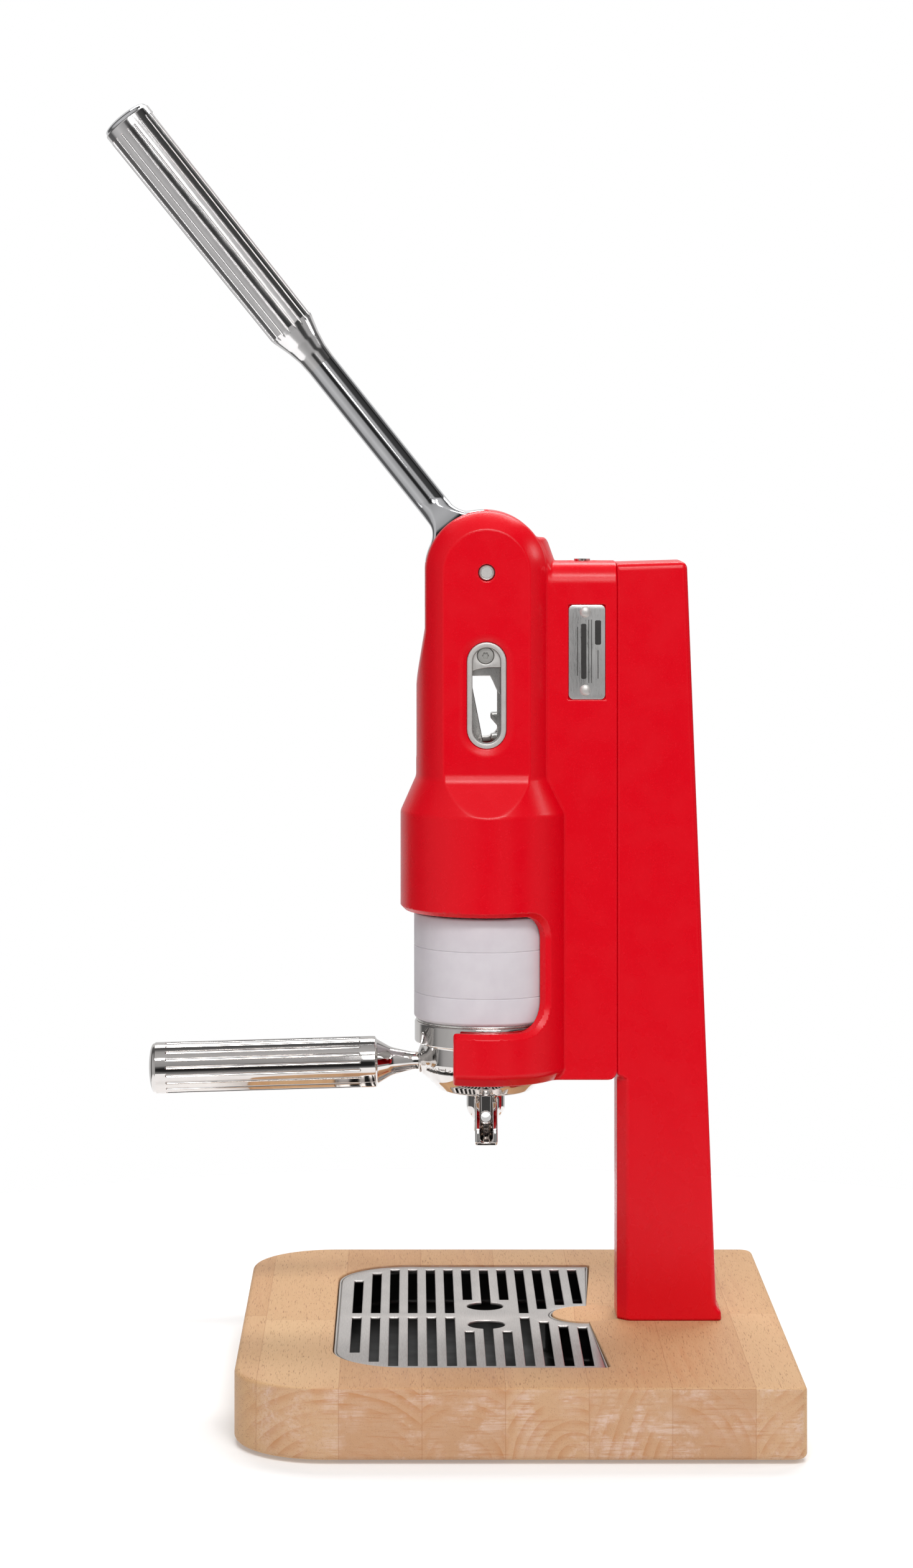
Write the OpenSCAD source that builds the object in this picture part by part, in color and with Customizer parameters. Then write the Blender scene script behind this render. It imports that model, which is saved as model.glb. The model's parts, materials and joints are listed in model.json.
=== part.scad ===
// Manual lever espresso press on a wooden board. A ratchet lever drives a rack and piston down
// into a water cup that stands on a portafilter. X points from the handles to the column,
// the piston axis is X = 0, Y = 0, and Z = 0 is the table.

/* [Board and tray] */
// Board edge in front of the piston axis
board_front = 119; // [112:1:130]
// Board edge behind the piston axis
board_rear = 144; // [138:1:160]
// Board width across
board_width = 303; // [290:1:330]
// Board thickness
board_thick = 33; // [30:1:38]
// Corner radius at the front of the board
board_front_radius = 43; // [30:1:50]
// Height of the rubber feet
foot_height = 2; // [2:0.5:4]
// Drip tray width across
tray_width = 222; // [210:1:226]
// Drip tray depth below the board's top
tray_depth = 20.5; // [16:0.5:21]
// Distance between the drain slots
slot_pitch = 9.17; // [9:0.01:9.3]
// Width of a drain slot
slot_width = 4.6; // [3:0.1:5.5]

/* [Housing and column] */
// Underside of the housing above the table
housing_bottom = 152.5; // [150:0.5:156]
// Radius of the large cylinder round the cup
housing_radius = 42; // [41.5:0.5:44]
// Radius of the neck and of its round head
neck_radius = 34.3; // [34:0.1:35]
// Half distance between the two flats on the neck
flat_half = 27; // [26.5:0.1:27.5]
// Height of the lever pivot
pivot_height = 401; // [400:0.5:402]
// Half thickness of the block between housing and column
block_half = 17.5; // [17:0.5:19]
// Height of the column's top at its front
column_top = 405.2; // [404:0.1:406]

/* [Lever] */
// Angle of the raised lever from upright
lever_angle = 38.6; // [36:0.1:40]
// Radius of the hub drum that closes the slot
hub_radius = 30.2; // [29.5:0.1:30.4]
// Radius of the round rod
rod_radius = 7.4; // [6.5:0.1:8]
// Radius of the hand grip
grip_radius = 12.9; // [12:0.1:14]
// Distance from the pivot to the end of the lever
lever_length = 287.4; // [275:0.1:300]
// Number of flutes round a grip
flutes = 20; // [12:1:24]

/* [Press mechanism] */
// Distance of the crank pin from the pivot
crank_radius = 12; // [11.5:0.1:12.2]
// Distance between two rack teeth
tooth_pitch = 10.4; // [10:0.1:10.6]
// Number of teeth, one for each stroke
tooth_count = 5; // [4:1:5]
// Radius of the piston
piston_radius = 28.9; // [28.5:0.1:29]

/* [Portafilter and cup] */
// Radius of the portafilter flange
flange_radius = 35; // [34:0.1:35.2]
// Inner radius of the filter basket
basket_radius = 29; // [28:0.1:29]
// Outer radius of the frosted cup
cup_radius = 35.3; // [34.5:0.1:35.5]
// Height of the frosted cup
cup_height = 52.3; // [50:0.1:52.6]
// Downward tilt of the handle
handle_tilt = 1.7; // [0:0.1:3]

/* [Hidden] */

$fn = 96;
red = [0.82, 0.02, 0.09];
steel = [0.72, 0.71, 0.70];
chrome = [0.82, 0.82, 0.84];
dark_steel = [0.38, 0.37, 0.36];
bronze = [0.72, 0.53, 0.28];
black = [0.08, 0.08, 0.08];
oak = [0.85, 0.70, 0.52];
frost = [0.86, 0.85, 0.90];

gap = 0.05;                                   // clearance round fasteners and inserts
reach = 60;                                   // half length of a cut that goes right through
board_half = board_width / 2;
board_top = foot_height + board_thick;
board_rear_radius = 7;

tray_front = -73.4;
tray_rear = 55.3;
tray_half = tray_width / 2;
tray_radius = 36;
tray_rear_radius = 2;
tray_wall = 1;
tray_bottom = board_top - tray_depth;
tray_rim = board_top - 1;
grille_thick = 1.5;
ledge = tray_rim - grille_thick - 0.1;
notch_x = 50.3;                               // centre of the finger notch behind the tray
tongue_radius = 17.5;
scoop_radius = 18.2;                          // finger dish in the tongue, at the board's top
scoop_depth = 4;

slot_count = 13;
first_slot = -63.5;
rib_half = 4.6;
spout_hole = 9;
spout_hole_y = 20;

arm_top = housing_bottom + 25.9;              // top of the two arms that carry the portafilter
arm_front = -16.4;
flange_floor = housing_bottom + 16.8;
bay_top = arm_top + 56.1;
bay_wall = 28.8;                              // front of the wall that stays behind the cup
shoulder = housing_bottom + 130.5;
neck_start = shoulder + 17.3;
bore_radius = cup_radius + 0.7;
head_radius = 30;
cavity_x = 22;
cavity_y = 17.5;
cavity_top = pivot_height - 23;
slot_half = 12;
slot_floor = pivot_height - 18;
roof_front = 1.6;
block_rear = 64;
block_top = pivot_height + 5;

column_front = block_rear + 0.6;
column_half = 17;
column_foot = 114.9;
column_rear = 112.9;
rear_slope = 0.0394;                          // how far the rear face leans, per mm of height
bolt_heights = [215, 355];
bolt_radius = 4;
foot_bolts = [for (x = [76, 104], y = [-9, 9]) [x, y]];

window_z = pivot_height - 59.8;
window_outer = [19.2, 52];
window_inner = [13.8, 47];
window_dish = [25.3, 58.3];
screw_x = -0.5;
screw_z = pivot_height - 40.4;

crank_angle = 60;
crank_x = -crank_radius * sin(crank_angle);
crank_z = pivot_height + crank_radius * cos(crank_angle);
lever_travel = 62;
pin_radius = 3.8;
drum_radius = 22;
drum_half = 11;
hub_end = 40;                                 // distances along the lever, from the pivot
trumpet_start = 130;
grip_start = 154;
grip_end = lever_length - 3.4;

rack_front = 5.65;
rack_rear = 14.3;
rack_half = 5;
tooth_depth = 3.3;
top_tooth = 331.2;
rack_top = top_tooth + 13;
piston_bottom = bay_top + 1.5;
piston_top = piston_bottom + 20;
foot_top = piston_top + 6;
seal_heights = [4, 12];
spring_x = 12;
spring_y = 13;
hanger_z = pivot_height - 27;
pawl_x = 20.5;
pawl_z = top_tooth + 20.2;
pawl_release = 13;

flange_bottom = flange_floor + 0.2;
flange_top = flange_bottom + 10.5;
rim_top = flange_top + 1.2;
cup_top = rim_top + cup_height;
basket_bottom = flange_top - 22.5;
body_radius = 31.1;
body_bottom = flange_top - 34.7;
handle_x = -31;
handle_z = flange_top - 20.3;
spout_z = flange_top - 47.2;                  // centre of the cross hole in the spout
grip_shoulder = 24.9;                         // distances along the handle
handle_end = 132;

// A point list along an arc in the plane, from angle a0 to a1
function arc(centre, r, a0, a1, steps = 12) =
    [for (i = [0:steps]) let (a = a0 + (a1 - a0) * i / steps) centre + r * [cos(a), sin(a)]];

// Extrudes a profile drawn in X and Z to both sides of Y = 0
module side_profile(half) {
    rotate([90, 0, 0]) linear_extrude(height = 2 * half, center = true) children();
}

// Extrudes a profile drawn in Y and Z along X, from x0 to x1
module front_profile(x0, x1) {
    translate([x0, 0, 0]) rotate([90, 0, 90]) linear_extrude(height = x1 - x0) children();
}

// The same shape on both sides of the XZ plane
module both_sides() {
    children();
    mirror([0, 1, 0]) children();
}

// A flat profile in X and Z that lies between two distances from the XZ plane
module side_slab(y0, y1) {
    translate([0, -y0, 0]) rotate([90, 0, 0]) linear_extrude(height = y1 - y0) children();
}

// A round bar along Y between two distances from the XZ plane
module cross_bar(x, z, r, y0, y1) {
    translate([x, y1, z]) rotate([90, 0, 0]) cylinder(r = r, h = y1 - y0);
}

module tube(r_out, r_in, z0, z1) {
    translate([0, 0, z0]) difference() {
        cylinder(r = r_out, h = z1 - z0);
        translate([0, 0, -1]) cylinder(r = r_in, h = z1 - z0 + 2);
    }
}

module stadium(size) {
    half = (size[1] - size[0]) / 2;
    square([size[0], 2 * half], center = true);
    for (s = [-1, 1]) translate([0, s * half]) circle(r = size[0] / 2);
}

// A plan with large corners at the front and small ones at the rear
module plan(x0, x1, half, front_r, rear_r) {
    translate([x0 + front_r, -half]) square([x1 - rear_r - x0 - front_r, 2 * half]);
    translate([x0, -half + front_r]) square([front_r + 1, 2 * (half - front_r)]);
    translate([x1 - rear_r - 1, -half + rear_r]) square([rear_r + 1, 2 * (half - rear_r)]);
    for (s = [-1, 1]) {
        translate([x0 + front_r, s * (half - front_r)]) circle(r = front_r);
        translate([x1 - rear_r, s * (half - rear_r)]) circle(r = rear_r);
    }
}

// The drip tray's plan, drawn in by inset, with the finger notch cut out
module tray_plan(inset, notch) {
    difference() {
        plan(tray_front + inset, tray_rear - inset, tray_half - inset,
             tray_radius - inset, max(tray_rear_radius - inset, 0.5));
        translate([notch_x, 0]) circle(r = notch);
        translate([notch_x, -notch]) square([20, 2 * notch]);
    }
}

// ---- Base ----

// Shallow round dish, so that a fingertip gets under the grille's edge
module finger_scoop() {
    r = (scoop_radius * scoop_radius + scoop_depth * scoop_depth) / (2 * scoop_depth);
    translate([notch_x, 0, board_top - scoop_depth + r]) sphere(r = r);
}

module board() {
    pocket = 8;
    color(oak) difference() {
        translate([0, 0, foot_height]) linear_extrude(height = board_thick)
            plan(-board_front, board_rear, board_half, board_front_radius, board_rear_radius);
        translate([0, 0, tray_bottom - 0.3]) linear_extrude(height = board_thick)
            tray_plan(-0.5, tongue_radius);
        translate([62, -18, foot_height - 1]) cube([56, 36, pocket + 1]);
        for (p = foot_bolts) translate([p[0], p[1], 0]) cylinder(r = 3.5, h = board_top + 1);
        finger_scoop();
    }
}

module feet() {
    color(black) for (p = [[-88, 115], [-88, -115], [122, 125], [122, -125], [0, 0]])
        translate([p[0], p[1], 0]) {
            cylinder(r1 = 11, r2 = 12, h = 1);
            translate([0, 0, 1]) cylinder(r = 12, h = foot_height - 1);
        }
}

module base_plate() {
    color(steel) difference() {
        translate([63, -17, foot_height + 4]) cube([54, 34, 4]);
        for (p = foot_bolts) translate([p[0], p[1], foot_height]) cylinder(r = 3.3, h = 10);
    }
}

module base_screws() {
    socket = 2.5;
    color(dark_steel) for (p = foot_bolts) translate([p[0], p[1], foot_height]) difference() {
        union() {
            translate([0, 0, 0.6]) cylinder(r = 5, h = 3.4);
            cylinder(r = 3, h = board_thick + 18);
        }
        translate([0, 0, -1]) cylinder(r = socket, h = 3, $fn = 6);
    }
}

module drip_tray() {
    color(steel) difference() {
        translate([0, 0, tray_bottom]) linear_extrude(height = tray_rim - tray_bottom)
            tray_plan(0, tongue_radius + 0.5);
        translate([0, 0, tray_bottom + tray_wall]) linear_extrude(height = board_thick)
            tray_plan(3, tongue_radius + 3.5);
        translate([0, 0, ledge]) linear_extrude(height = board_thick)
            tray_plan(tray_wall, tongue_radius + 0.5 + tray_wall);
    }
}

// Where a drain slot starts, measured from the middle: at the rib, at a spout hole or at the notch
function slot_start(x) =
    abs(x) < slot_pitch / 2 ? spout_hole_y :
    abs(x) < 1.5 * slot_pitch ? spout_hole_y + 14 :
    max(rib_half, sqrt(max(0, pow(tongue_radius + 8.5, 2) - pow(notch_x - x, 2))));

// Where it ends: the first two are shorter, inside the round corner
function slot_end(i) = i == 0 ? 78 : i == 1 ? 96 : 104.5;

module drip_grille() {
    color(steel) difference() {
        translate([0, 0, tray_rim - grille_thick]) linear_extrude(height = grille_thick)
            difference() {
                tray_plan(tray_wall + 0.3, tongue_radius + 2.3);
                for (i = [0:slot_count - 1], s = [-1, 1]) {
                    x = first_slot + i * slot_pitch;
                    y0 = slot_start(x);
                    y1 = slot_end(i);
                    translate([x, s * (y0 + y1) / 2])
                        square([slot_width, y1 - y0], center = true);
                }
                for (s = [-1, 1]) translate([0, s * spout_hole_y]) circle(r = spout_hole);
            }
    }
}

// ---- Column and housing ----

module column_shape() {
    z0 = board_top;
    rear_top = column_rear - rear_slope * (column_top - z0);
    corner = 5;
    polygon(concat(
        [[column_front, z0], [column_foot, z0], [column_foot, z0 + 5], [column_rear, z0 + 9]],
        arc([rear_top - corner, column_top + 1.3 - corner], corner, 2, 92),
        [[column_front + 2, column_top], [column_front, column_top - 2]]
    ));
}

module column() {
    chamfer = 5;
    lean = atan(rear_slope);
    color(red) difference() {
        union() {
            side_profile(column_half) column_shape();
            translate([block_rear, -10, 190]) cube([1, 20, 190]);
        }
        // chamfers on the front edges of the free lower part
        for (s = [-1, 1]) translate([column_front, s * column_half, board_top - 1])
            rotate([0, 0, 45]) translate([-chamfer / sqrt(2), -chamfer / sqrt(2), 0])
                cube([chamfer * sqrt(2), chamfer * sqrt(2), housing_bottom - board_top + 1]);
        // chamfers along the leaning rear edges
        for (s = [-1, 1]) translate([column_foot, s * column_half, board_top])
            rotate([0, -lean, 0]) rotate([0, 0, 45]) translate([-2, -2, -2])
                cube([4, 4, 400]);
        for (z = bolt_heights) translate([block_rear - 1, 0, z]) rotate([0, 90, 0])
            cylinder(r = bolt_radius + gap, h = 60);
        for (z = bolt_heights) translate([bolt_seat(z), 0, z]) rotate([0, 90, 0])
            cylinder(r = 7, h = 20);
        for (p = foot_bolts) translate([p[0], p[1], board_top - 1])
            cylinder(r = 3 + gap, h = 25);
    }
}

// Floor of the counterbore for a column bolt, 10 mm in from the rear face
function bolt_seat(z) = column_rear - rear_slope * (z - board_top) - 10;

module column_bolts() {
    color(dark_steel) for (z = bolt_heights) translate([bolt_seat(z), 0, z]) rotate([0, 90, 0])
        difference() {
            union() {
                cylinder(r = 6.5, h = 8);
                translate([0, 0, 50 - bolt_seat(z)]) cylinder(r = bolt_radius,
                                                             h = bolt_seat(z) - 50);
            }
            translate([0, 0, 4]) cylinder(r = 3.4, h = 5, $fn = 6);
        }
}

// Side view of the neck and head: straight, with a slope between the wide neck and the head
function flare(z) =
    let (t = min(max((z - (pivot_height - 56)) / 27, 0), 1))
    neck_radius - (neck_radius - head_radius) * t;

module neck_side() {
    heights = [pivot_height - 56, pivot_height - 29];
    edge = concat([[housing_radius, shoulder - 1], [housing_radius, neck_start],
                   [neck_radius, neck_start + 1]],
                  [for (z = heights) [flare(z), z]]);
    polygon(concat(edge,
        [[head_radius, pivot_height], [-head_radius, pivot_height]],
        [for (i = [len(edge) - 1:-1:0]) [-edge[i][0], edge[i][1]]]));
    translate([0, pivot_height]) circle(r = head_radius);
}

// Front view: two flats, running out at about 40 degrees into the large cylinder
module neck_front() {
    w = housing_radius + 0.5;
    run_out = neck_start - 1.16 * (w - flat_half);
    polygon([
        [-w, shoulder - 1], [w, shoulder - 1], [w, run_out], [flat_half, neck_start],
        [flat_half, pivot_height + 40], [-flat_half, pivot_height + 40],
        [-flat_half, neck_start], [-w, run_out]
    ]);
}

module neck() {
    intersection() {
        union() {
            translate([0, 0, shoulder]) cylinder(r1 = housing_radius, r2 = neck_radius,
                                                 h = neck_start - shoulder);
            translate([0, 0, neck_start]) cylinder(r = neck_radius,
                                                   h = pivot_height - neck_start);
            translate([0, 0, pivot_height]) sphere(r = neck_radius);
        }
        side_profile(housing_radius) neck_side();
        front_profile(-housing_radius, housing_radius) neck_front();
    }
}

module block() {
    edge = 11;
    intersection() {
        front_profile(0, block_rear) {
            translate([-block_half, housing_bottom + 0.5])
                square([2 * block_half, block_top - edge - housing_bottom - 0.5]);
            translate([-block_half + edge, housing_bottom + 1])
                square([2 * (block_half - edge), block_top - housing_bottom - 1]);
            for (s = [-1, 1]) translate([s * (block_half - edge), block_top - edge])
                circle(r = edge);
        }
        side_profile(block_half) polygon(concat(
            [[0, housing_bottom]],
            arc([block_rear - 5, housing_bottom + 5.5], 5, -90, 0, 6),
            [[block_rear, block_top - 1.5], [block_rear - 1.5, block_top], [0, block_top]]
        ));
    }
    // raised shoulder behind the head
    side_profile(14) polygon([[0, pivot_height], [33.4, pivot_height], [32.8, block_top],
                              [29.6, pivot_height + 15.5], [28.5, pivot_height + 16.5],
                              [20, pivot_height + 16.5]]);
}

// The cup bay, seen from the side: open at the front, round in its rear corners
module bay_side() {
    top_r = 12;
    floor_r = 15;
    left = -reach;
    translate([left, arm_top]) square([bay_wall - floor_r - left, bay_top - arm_top]);
    translate([left, arm_top + floor_r])
        square([bay_wall - left, bay_top - top_r - arm_top - floor_r]);
    translate([left, arm_top + floor_r]) square([bay_wall - top_r - left,
                                                 bay_top - arm_top - floor_r]);
    translate([bay_wall - floor_r, arm_top + floor_r]) circle(r = floor_r);
    translate([bay_wall - top_r, bay_top - top_r]) circle(r = top_r);
}

module lever_slot_side() {
    intersection() {
        translate([0, pivot_height]) circle(r = hub_radius + 0.5);
        translate([-reach, slot_floor - 20]) square([reach + roof_front, 80]);
    }
    translate([-reach, slot_floor]) square([reach + roof_front, 80]);
    translate([0, pivot_height]) circle(r = drum_radius + 2.5);
}

module housing() {
    color(red) difference() {
        union() {
            translate([0, 0, housing_bottom]) cylinder(r1 = housing_radius - 5,
                                                       r2 = housing_radius, h = 5);
            translate([0, 0, housing_bottom + 5]) cylinder(r = housing_radius,
                                                           h = shoulder - housing_bottom - 5);
            neck();
            block();
        }
        // bore for the cup and the piston
        translate([0, 0, flange_floor]) cylinder(r = flange_radius + 0.4,
                                                 h = arm_top - flange_floor);
        translate([0, 0, arm_top]) cylinder(r = bore_radius, h = shoulder + 1 - arm_top);
        // channel between the arms, with the ledge that carries the flange
        translate([-reach, -flange_radius - 0.4, flange_floor])
            cube([reach, 2 * flange_radius + 0.8, arm_top - flange_floor]);
        translate([0, 0, housing_bottom - 1]) cylinder(r = body_radius + 0.5,
                                                       h = flange_floor - housing_bottom + 2);
        translate([-reach, -body_radius - 0.5, housing_bottom - 1])
            cube([reach, 2 * body_radius + 1, flange_floor - housing_bottom + 2]);
        translate([-reach, -reach, housing_bottom - 1])
            cube([reach + arm_front, 2 * reach, arm_top - housing_bottom + 1]);
        side_profile(reach) bay_side();
        // cavity for the mechanism, the lever's slot and the pocket of the holding pawl
        translate([-cavity_x, -cavity_y, shoulder - 1])
            cube([2 * cavity_x, 2 * cavity_y, cavity_top - shoulder + 1]);
        side_profile(slot_half) lever_slot_side();
        translate([cavity_x - 1, -6, pawl_z - 24]) cube([7, 12, 36]);
        // windows
        for (s = [-1, 1]) translate([0, s * (cavity_y + reach / 2), window_z])
            side_profile(reach / 2 + 1) stadium(window_outer + [0.1, 0.1]);
        for (s = [-1, 1]) translate([0, s * (flat_half + 9), window_z])
            side_profile(10) stadium(window_dish);
        // bores
        cross_bar(0, pivot_height, pin_radius + gap, -reach, reach);
        both_sides() cross_bar(0, pivot_height, 4, flat_half - 2, reach);
        cross_bar(pawl_x, pawl_z, 2 + gap, -11, 11);
        cross_bar(spring_x, hanger_z, 2 + gap, -cavity_y - 3, cavity_y + 3);
        for (z = bolt_heights) translate([48, 0, z]) rotate([0, 90, 0])
            cylinder(r = bolt_radius + gap, h = 30);
        // pockets for the nameplate and the top screw
        translate([nameplate_x - nameplate_size[0] / 2 - gap, -block_half - 1,
                   nameplate_z - nameplate_size[1] / 2 - gap])
            cube([nameplate_size[0] + 2 * gap, 1.9, nameplate_size[1] + 2 * gap]);
        for (z = rivet_heights) cross_bar(nameplate_x, z, 1.5 + gap, -block_half, -12);
        translate([47.5, 0, block_top - 2]) cylinder(r1 = 5.5, r2 = 7.5, h = 2.1);
        translate([47.5, 0, block_top - 14]) cylinder(r = 2.5 + gap, h = 20);
    }
}

// ---- Window, nameplate and fixed mechanism ----

module window_sleeves() {
    color(steel) both_sides() translate([0, 0, window_z]) side_slab(cavity_y, flat_half - 1)
        difference() {
            stadium(window_outer);
            stadium(window_inner);
        }
}

module window_plates() {
    color(steel) both_sides() difference() {
        translate([0, 0, window_z]) side_slab(flat_half - 4.6, flat_half - 2.6) difference() {
            stadium(window_inner - [0.1, 0.1]);
            translate([5, 354.9 - 40 - window_z]) circle(r = 40);
            translate([-10, -30]) square([20, 38]);
        }
        translate([screw_x, -flat_half, screw_z]) rotate([-90, 0, 0])
            cylinder(r = 2 + gap, h = 10);
        translate([screw_x, -flat_half, screw_z]) rotate([-90, 0, 0])
            cylinder(r = 4.15, h = 3.6);
    }
}

module window_blocks() {
    lower = 350.6 - window_z;
    color(steel) both_sides() difference() {
        translate([0, 0, window_z]) side_slab(8, flat_half - 4.7) difference() {
            stadium(window_inner - [0.1, 0.1]);
            polygon([[-10, lower], [1.7, lower], [2.7, lower - 1.9], [5.5, lower - 8],
                     [10, lower - 10], [10, -30], [-10, -30]]);
        }
        translate([screw_x, -flat_half, screw_z]) rotate([-90, 0, 0])
            cylinder(r = 2 + gap, h = 30);
    }
}

module window_screws() {
    color(steel) both_sides() translate([screw_x, -flat_half + 2.8, screw_z])
        rotate([-90, 0, 0]) difference() {
            union() {
                cylinder(r = 3.95, h = 0.8);
                cylinder(r = 2, h = 20);
            }
            translate([0, 0, -1]) cylinder(r = 1.4, h = 1.7, $fn = 6);
        }
}

module tie_bar() {
    color(dark_steel) difference() {
        cross_bar(screw_x, screw_z, 4, -8, 8);
        both_sides() cross_bar(screw_x, screw_z, 2 + gap, 4, 9);
    }
}

nameplate_size = [17.9, 46.2];
nameplate_x = 49.2;
nameplate_z = 361.9;
rivet_heights = [nameplate_z - 18.6, nameplate_z + 19.6];

module nameplate() {
    color(steel) difference() {
        translate([nameplate_x, 0, nameplate_z]) side_slab(block_half - 0.9, block_half)
            plan(-nameplate_size[0] / 2, nameplate_size[0] / 2, nameplate_size[1] / 2, 2, 2);
        for (z = rivet_heights) cross_bar(nameplate_x, z, 1.5 + gap, -block_half - 1, -12);
    }
}

module nameplate_rivets() {
    head = 2.75;
    rise = 1.1;
    sphere_radius = (head * head + rise * rise) / (2 * rise);
    color(chrome) for (z = rivet_heights) {
        cross_bar(nameplate_x, z, 1.5, -block_half, -12.2);
        intersection() {
            translate([nameplate_x, -block_half + sphere_radius - rise, z])
                sphere(r = sphere_radius);
            cross_bar(nameplate_x, z, head + 1, -block_half - 3, -block_half);
        }
    }
}

module top_screw() {
    color(steel) translate([47.5, 0, block_top]) difference() {
        union() {
            translate([0, 0, -2]) cylinder(r = 4, h = 3);
            translate([0, 0, -13]) cylinder(r = 2.5, h = 12);
        }
        cylinder(r = 1.8, h = 2, $fn = 6);
    }
}

module pivot_pin() {
    half = flat_half - 0.6;
    color(steel) translate([0, 0, pivot_height]) rotate([90, 0, 0]) {
        translate([0, 0, -half + 0.8]) cylinder(r = pin_radius, h = 2 * half - 1.6);
        translate([0, 0, half - 0.8]) cylinder(r1 = pin_radius, r2 = pin_radius - 0.8, h = 0.8);
        translate([0, 0, -half]) cylinder(r1 = pin_radius - 0.8, r2 = pin_radius, h = 0.8);
    }
}

module thrust_washers() {
    color(bronze) both_sides() translate([0, -drum_half - 0.1, pivot_height])
        rotate([90, 0, 0]) tube(9, pin_radius + 0.06, 0, 0.8);
}

module pivot_bushes() {
    color(bronze) both_sides() translate([0, -3, pivot_height]) rotate([90, 0, 0])
        tube(5.5, pin_radius + 0.06, 0, drum_half - 3);
}

// ---- Lever ----

// Turns the axis of what it holds from +Z to the axis of the raised lever
module along_lever() {
    translate([0, 0, pivot_height]) rotate([0, -lever_angle, 0]) children();
}

// Side view of the drum: a round hub with a larger sector that fills the slot
module hub_side() {
    sector = 83;
    circle(r = drum_radius);
    polygon(concat([[0, 0]], arc([0, 0], hub_radius, 90, 90 + sector, 16)));
    polygon([[0, 0], [0, hub_radius - 0.9], [-16, hub_radius - 0.9], [-22, 16]]);
}

// Side view of the space in which the drive pawl hangs and swings
module pawl_swing() {
    half = 6.6;
    translate([crank_x, crank_z - pivot_height]) {
        circle(r = 7.5);
        for (a = [0:lever_travel / 4:lever_travel]) rotate(-a)
            translate([-half, -60]) square([2 * half, 60]);
    }
}

module lever_hub() {
    color(chrome) difference() {
        union() {
            translate([0, 0, pivot_height]) side_profile(drum_half) hub_side();
            along_lever() rotate_extrude() polygon([
                [0, 20], [11, 20], [11, 27], [9.4, 30.5], [8, 34.5], [rod_radius, hub_end],
                [0, hub_end]
            ]);
        }
        cross_bar(0, pivot_height, 5.5 + gap, -reach, reach);
        cross_bar(crank_x, crank_z, 3 + gap / 2, -reach, reach);
        translate([0, 0, pivot_height]) side_profile(2.8) pawl_swing();
        along_lever() translate([0, 0, 22]) cylinder(r = 4 + gap, h = 30);
    }
}

module lever_rod() {
    color(chrome) along_lever() {
        translate([0, 0, hub_end]) cylinder(r = rod_radius, h = trumpet_start - hub_end);
        translate([0, 0, 24]) cylinder(r = 4, h = hub_end - 23);
        translate([0, 0, trumpet_start]) cylinder(r = 4, h = grip_end - 8 - trumpet_start);
    }
}

// Grooves along a grip whose radius grows from r0 to r1, as deep as half of their width
module flute_cuts(r0, r1, z0, z1) {
    for (i = [0:flutes - 1]) rotate([0, 0, (i + 0.5) * 360 / flutes])
        translate([r0, 0, z0]) rotate([0, atan((r1 - r0) / (z1 - z0)), 0])
            cylinder(r = 0.8, h = z1 - z0, $fn = 16);
}

module lever_grip() {
    neck_points = [[rod_radius, trumpet_start], [rod_radius + 0.6, trumpet_start + 6],
                   [rod_radius + 2, trumpet_start + 13], [rod_radius + 3.9, trumpet_start + 19],
                   [grip_radius - 0.9, grip_start]];
    color(chrome) along_lever() difference() {
        rotate_extrude() polygon(concat([[4 + gap, trumpet_start]], neck_points,
            [[grip_radius, grip_end], [4 + gap, grip_end]]));
        flute_cuts(grip_radius - 0.8, grip_radius + 0.1, grip_start + 1, grip_end - 5);
    }
}

module lever_cap() {
    rise = lever_length - grip_end;
    sphere_radius = (grip_radius * grip_radius + rise * rise) / (2 * rise);
    color(chrome) along_lever() {
        intersection() {
            translate([0, 0, lever_length - sphere_radius]) sphere(r = sphere_radius);
            translate([0, 0, grip_end]) cylinder(r = grip_radius, h = rise + 1);
        }
        translate([0, 0, grip_end - 6]) cylinder(r = 4, h = 7);
    }
}

module crank_pin() {
    color(steel) cross_bar(crank_x, crank_z, 3, -drum_half + 0.3, drum_half - 0.3);
}

// ---- Ratchet and piston ----

module drive_pawl() {
    color(steel) difference() {
        union() {
            cross_bar(crank_x, crank_z, 6, -2.5, 2.5);
            side_profile(2.5) polygon([
                [crank_x - 4.5, crank_z], [crank_x + 3.2, crank_z], [-7.2, 347],
                [-1.35, 317.1], [1.5, 304], [1.5, top_tooth - 4 * tooth_pitch + 0.6],
                [-3, top_tooth - 4 * tooth_pitch + 0.6], [-9, 302], [-15, 340]
            ]);
        }
        cross_bar(crank_x, crank_z, 3 + 0.06, -5, 5);
    }
}

module holding_pawl() {
    color(steel) translate([pawl_x, 0, pawl_z]) rotate([0, -pawl_release, 0]) difference() {
        union() {
            cross_bar(0, 0, 5, -4, 4);
            side_profile(4) polygon([[-4.2, -2.7], [4.6, -2], [0, -14], [-2, -19],
                                     [-5.7, -19], [-5.7, -14]]);
        }
        cross_bar(0, 0, 2 + 0.06, -9, 9);
    }
}

module pawl_pin() {
    color(steel) cross_bar(pawl_x, pawl_z, 2, -10.5, 10.5);
}

// One tooth, flat on top, seen from the side; it stands on the face at x and points to side * X
function tooth(x, side, z) =
    [for (p = [[-0.5, -6.2], [0, -6.2], [tooth_depth, -2.6], [tooth_depth, -0.8],
               [tooth_depth - 0.8, 0], [-0.5, 0]]) [x + side * p[0], z + p[1]]];

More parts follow.
